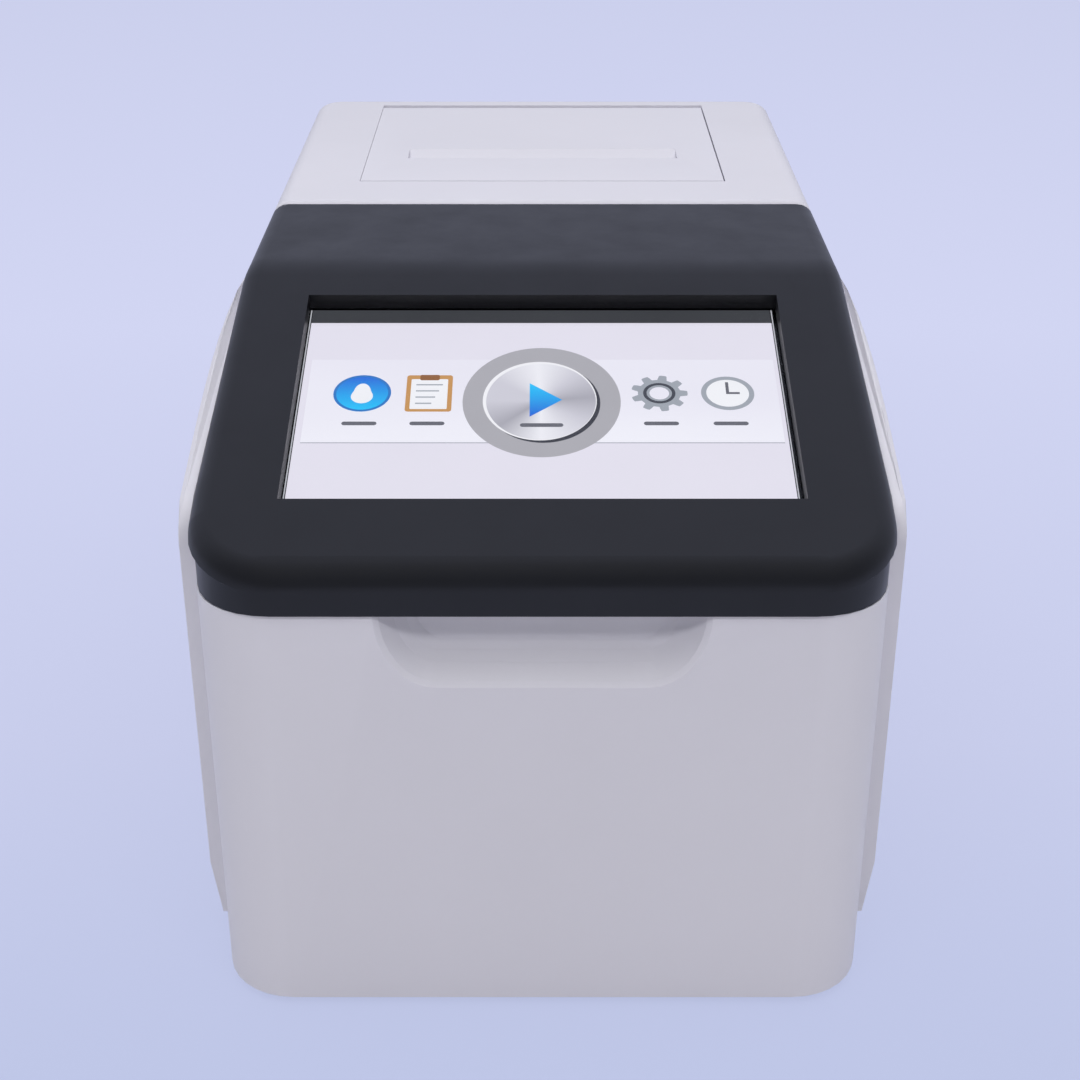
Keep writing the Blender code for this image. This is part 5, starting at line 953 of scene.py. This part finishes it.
TOP_LAMP_COLOR, FRONT_LAMP_COLOR = (1.0, 1.0, 1.0), (1.0, 0.99, 1.0)


def seen_directly(tree):
    """1 for camera, glossy and transmission rays and 0 for the rest."""
    path = tree.nodes.new("ShaderNodeLightPath")
    seen = node(tree, "ShaderNodeMath", {"operation": "MAXIMUM"})
    tree.links.new(path.outputs["Is Camera Ray"], seen.inputs[0])
    tree.links.new(path.outputs["Is Glossy Ray"], seen.inputs[1])
    more = node(tree, "ShaderNodeMath", {"operation": "MAXIMUM"})
    tree.links.new(seen.outputs[0], more.inputs[0])
    tree.links.new(path.outputs["Is Transmission Ray"], more.inputs[1])
    return more.outputs[0]


def make_floor():
    """Pale floor: its light on the object is neutral, and it is lavender where it is seen or mirrored."""
    mesh = bpy.data.meshes.new("floor")
    corners = [(x, y, 0.0) for x, y in rectangle(-FLOOR_HALF, FLOOR_HALF, -FLOOR_HALF, FLOOR_HALF)]
    mesh.from_pydata(corners, [], [(0, 1, 2, 3)])
    floor = bpy.data.objects.new("floor", mesh)
    bpy.context.scene.collection.objects.link(floor)
    mat, tree, shader = new_material("floor_paper")
    start, end = FLOOR_PLACES[0], FLOOR_PLACES[-1]
    coords = tree.nodes.new("ShaderNodeTexCoord").outputs["Object"]
    places = [(y - start) / (end - start) for y in FLOOR_PLACES]
    near = ramp(tree, span_along_y(tree, coords, start, end), places, [srgb(code) for code in FLOOR_COLORS])
    reach = node(tree, "ShaderNodeVectorMath", {"operation": "LENGTH"})
    tree.links.new(coords, reach.inputs[0])
    fade = span(tree, reach.outputs["Value"], FADE_START, FADE_END)
    color = mix_colors(tree, fade, near, srgb(BACKDROP))
    seen = seen_directly(tree)
    tree.links.new(mix_colors(tree, seen, srgb(FLOOR_NEUTRAL), color), shader.inputs["Base Color"])
    shader.inputs["Roughness"].default_value = FLOOR_ROUGHNESS
    shader.inputs["Specular IOR Level"].default_value = 0.0
    glow = tree.nodes.new("ShaderNodeEmission")
    tree.links.new(color, glow.inputs["Color"])
    share = node(tree, "ShaderNodeMath", {"operation": "MULTIPLY"})
    share.inputs[1].default_value = FLOOR_SELF_SHARE
    tree.links.new(seen, share.inputs[0])
    mix = tree.nodes.new("ShaderNodeMixShader")
    tree.links.new(share.outputs[0], mix.inputs["Fac"])
    tree.links.new(shader.outputs["BSDF"], mix.inputs[1])
    tree.links.new(glow.outputs["Emission"], mix.inputs[2])
    tree.links.new(mix.outputs["Shader"], tree.nodes["Material Output"].inputs["Surface"])
    mesh.materials.append(mat)


def make_world():
    world = bpy.data.worlds.new("soft_studio")
    world.use_nodes = True
    tree = world.node_tree
    back = tree.nodes["Background"]
    coords = tree.nodes.new("ShaderNodeTexCoord").outputs["Generated"]
    place = span_along_y(tree, coords, -1.0, 1.0)
    plain, lavender = [ramp(tree, place, WORLD_PLACES, [shade(srgb(code), s) for s in WORLD_SHADES])
                       for code in (WORLD_NEUTRAL, WORLD_SEEN)]
    lit_world = mix_colors(tree, seen_directly(tree), plain, lavender)
    path = tree.nodes.new("ShaderNodeLightPath")
    backdrop = mix_colors(tree, path.outputs["Is Camera Ray"], lit_world, srgb(BACKDROP))
    tree.links.new(backdrop, back.inputs["Color"])
    back.inputs["Strength"].default_value = 1.0
    bpy.context.scene.world = world


def make_lamp(name, place, size, power, color):
    data = bpy.data.lights.new(name, "AREA")
    data.shape = "RECTANGLE"
    data.size, data.size_y = size
    data.energy = power
    data.color = color
    lamp = bpy.data.objects.new(name, data)
    lamp.location = place
    lamp.rotation_euler = (Vector(LAMP_AIM) - Vector(place)).to_track_quat("-Z", "Y").to_euler()
    lamp.visible_glossy = False
    bpy.context.scene.collection.objects.link(lamp)


def make_camera():
    data = bpy.data.cameras.new("camera")
    data.sensor_width = CAMERA_SENSOR
    data.lens = CAMERA_SENSOR * CAMERA_FOCAL_PIXELS / PHOTO_PIXELS
    data.shift_x = (PHOTO_PIXELS / 2 - CAMERA_CENTER_COLUMN) / PHOTO_PIXELS
    camera = bpy.data.objects.new("camera", data)
    camera.location = (0.0, FRONT_Y - CAMERA_DISTANCE, CAMERA_HEIGHT)
    camera.rotation_euler = (math.pi / 2 - CAMERA_DROP, 0.0, 0.0)
    bpy.context.scene.collection.objects.link(camera)
    bpy.context.scene.camera = camera


make_camera()
make_floor()
make_world()
make_lamp("top_panel", TOP_LAMP_PLACE, TOP_LAMP_SIZE, TOP_LAMP_POWER, TOP_LAMP_COLOR)
make_lamp("front_panel", FRONT_LAMP_PLACE, FRONT_LAMP_SIZE, FRONT_LAMP_POWER, FRONT_LAMP_COLOR)
bpy.context.scene.view_settings.view_transform = "Standard"
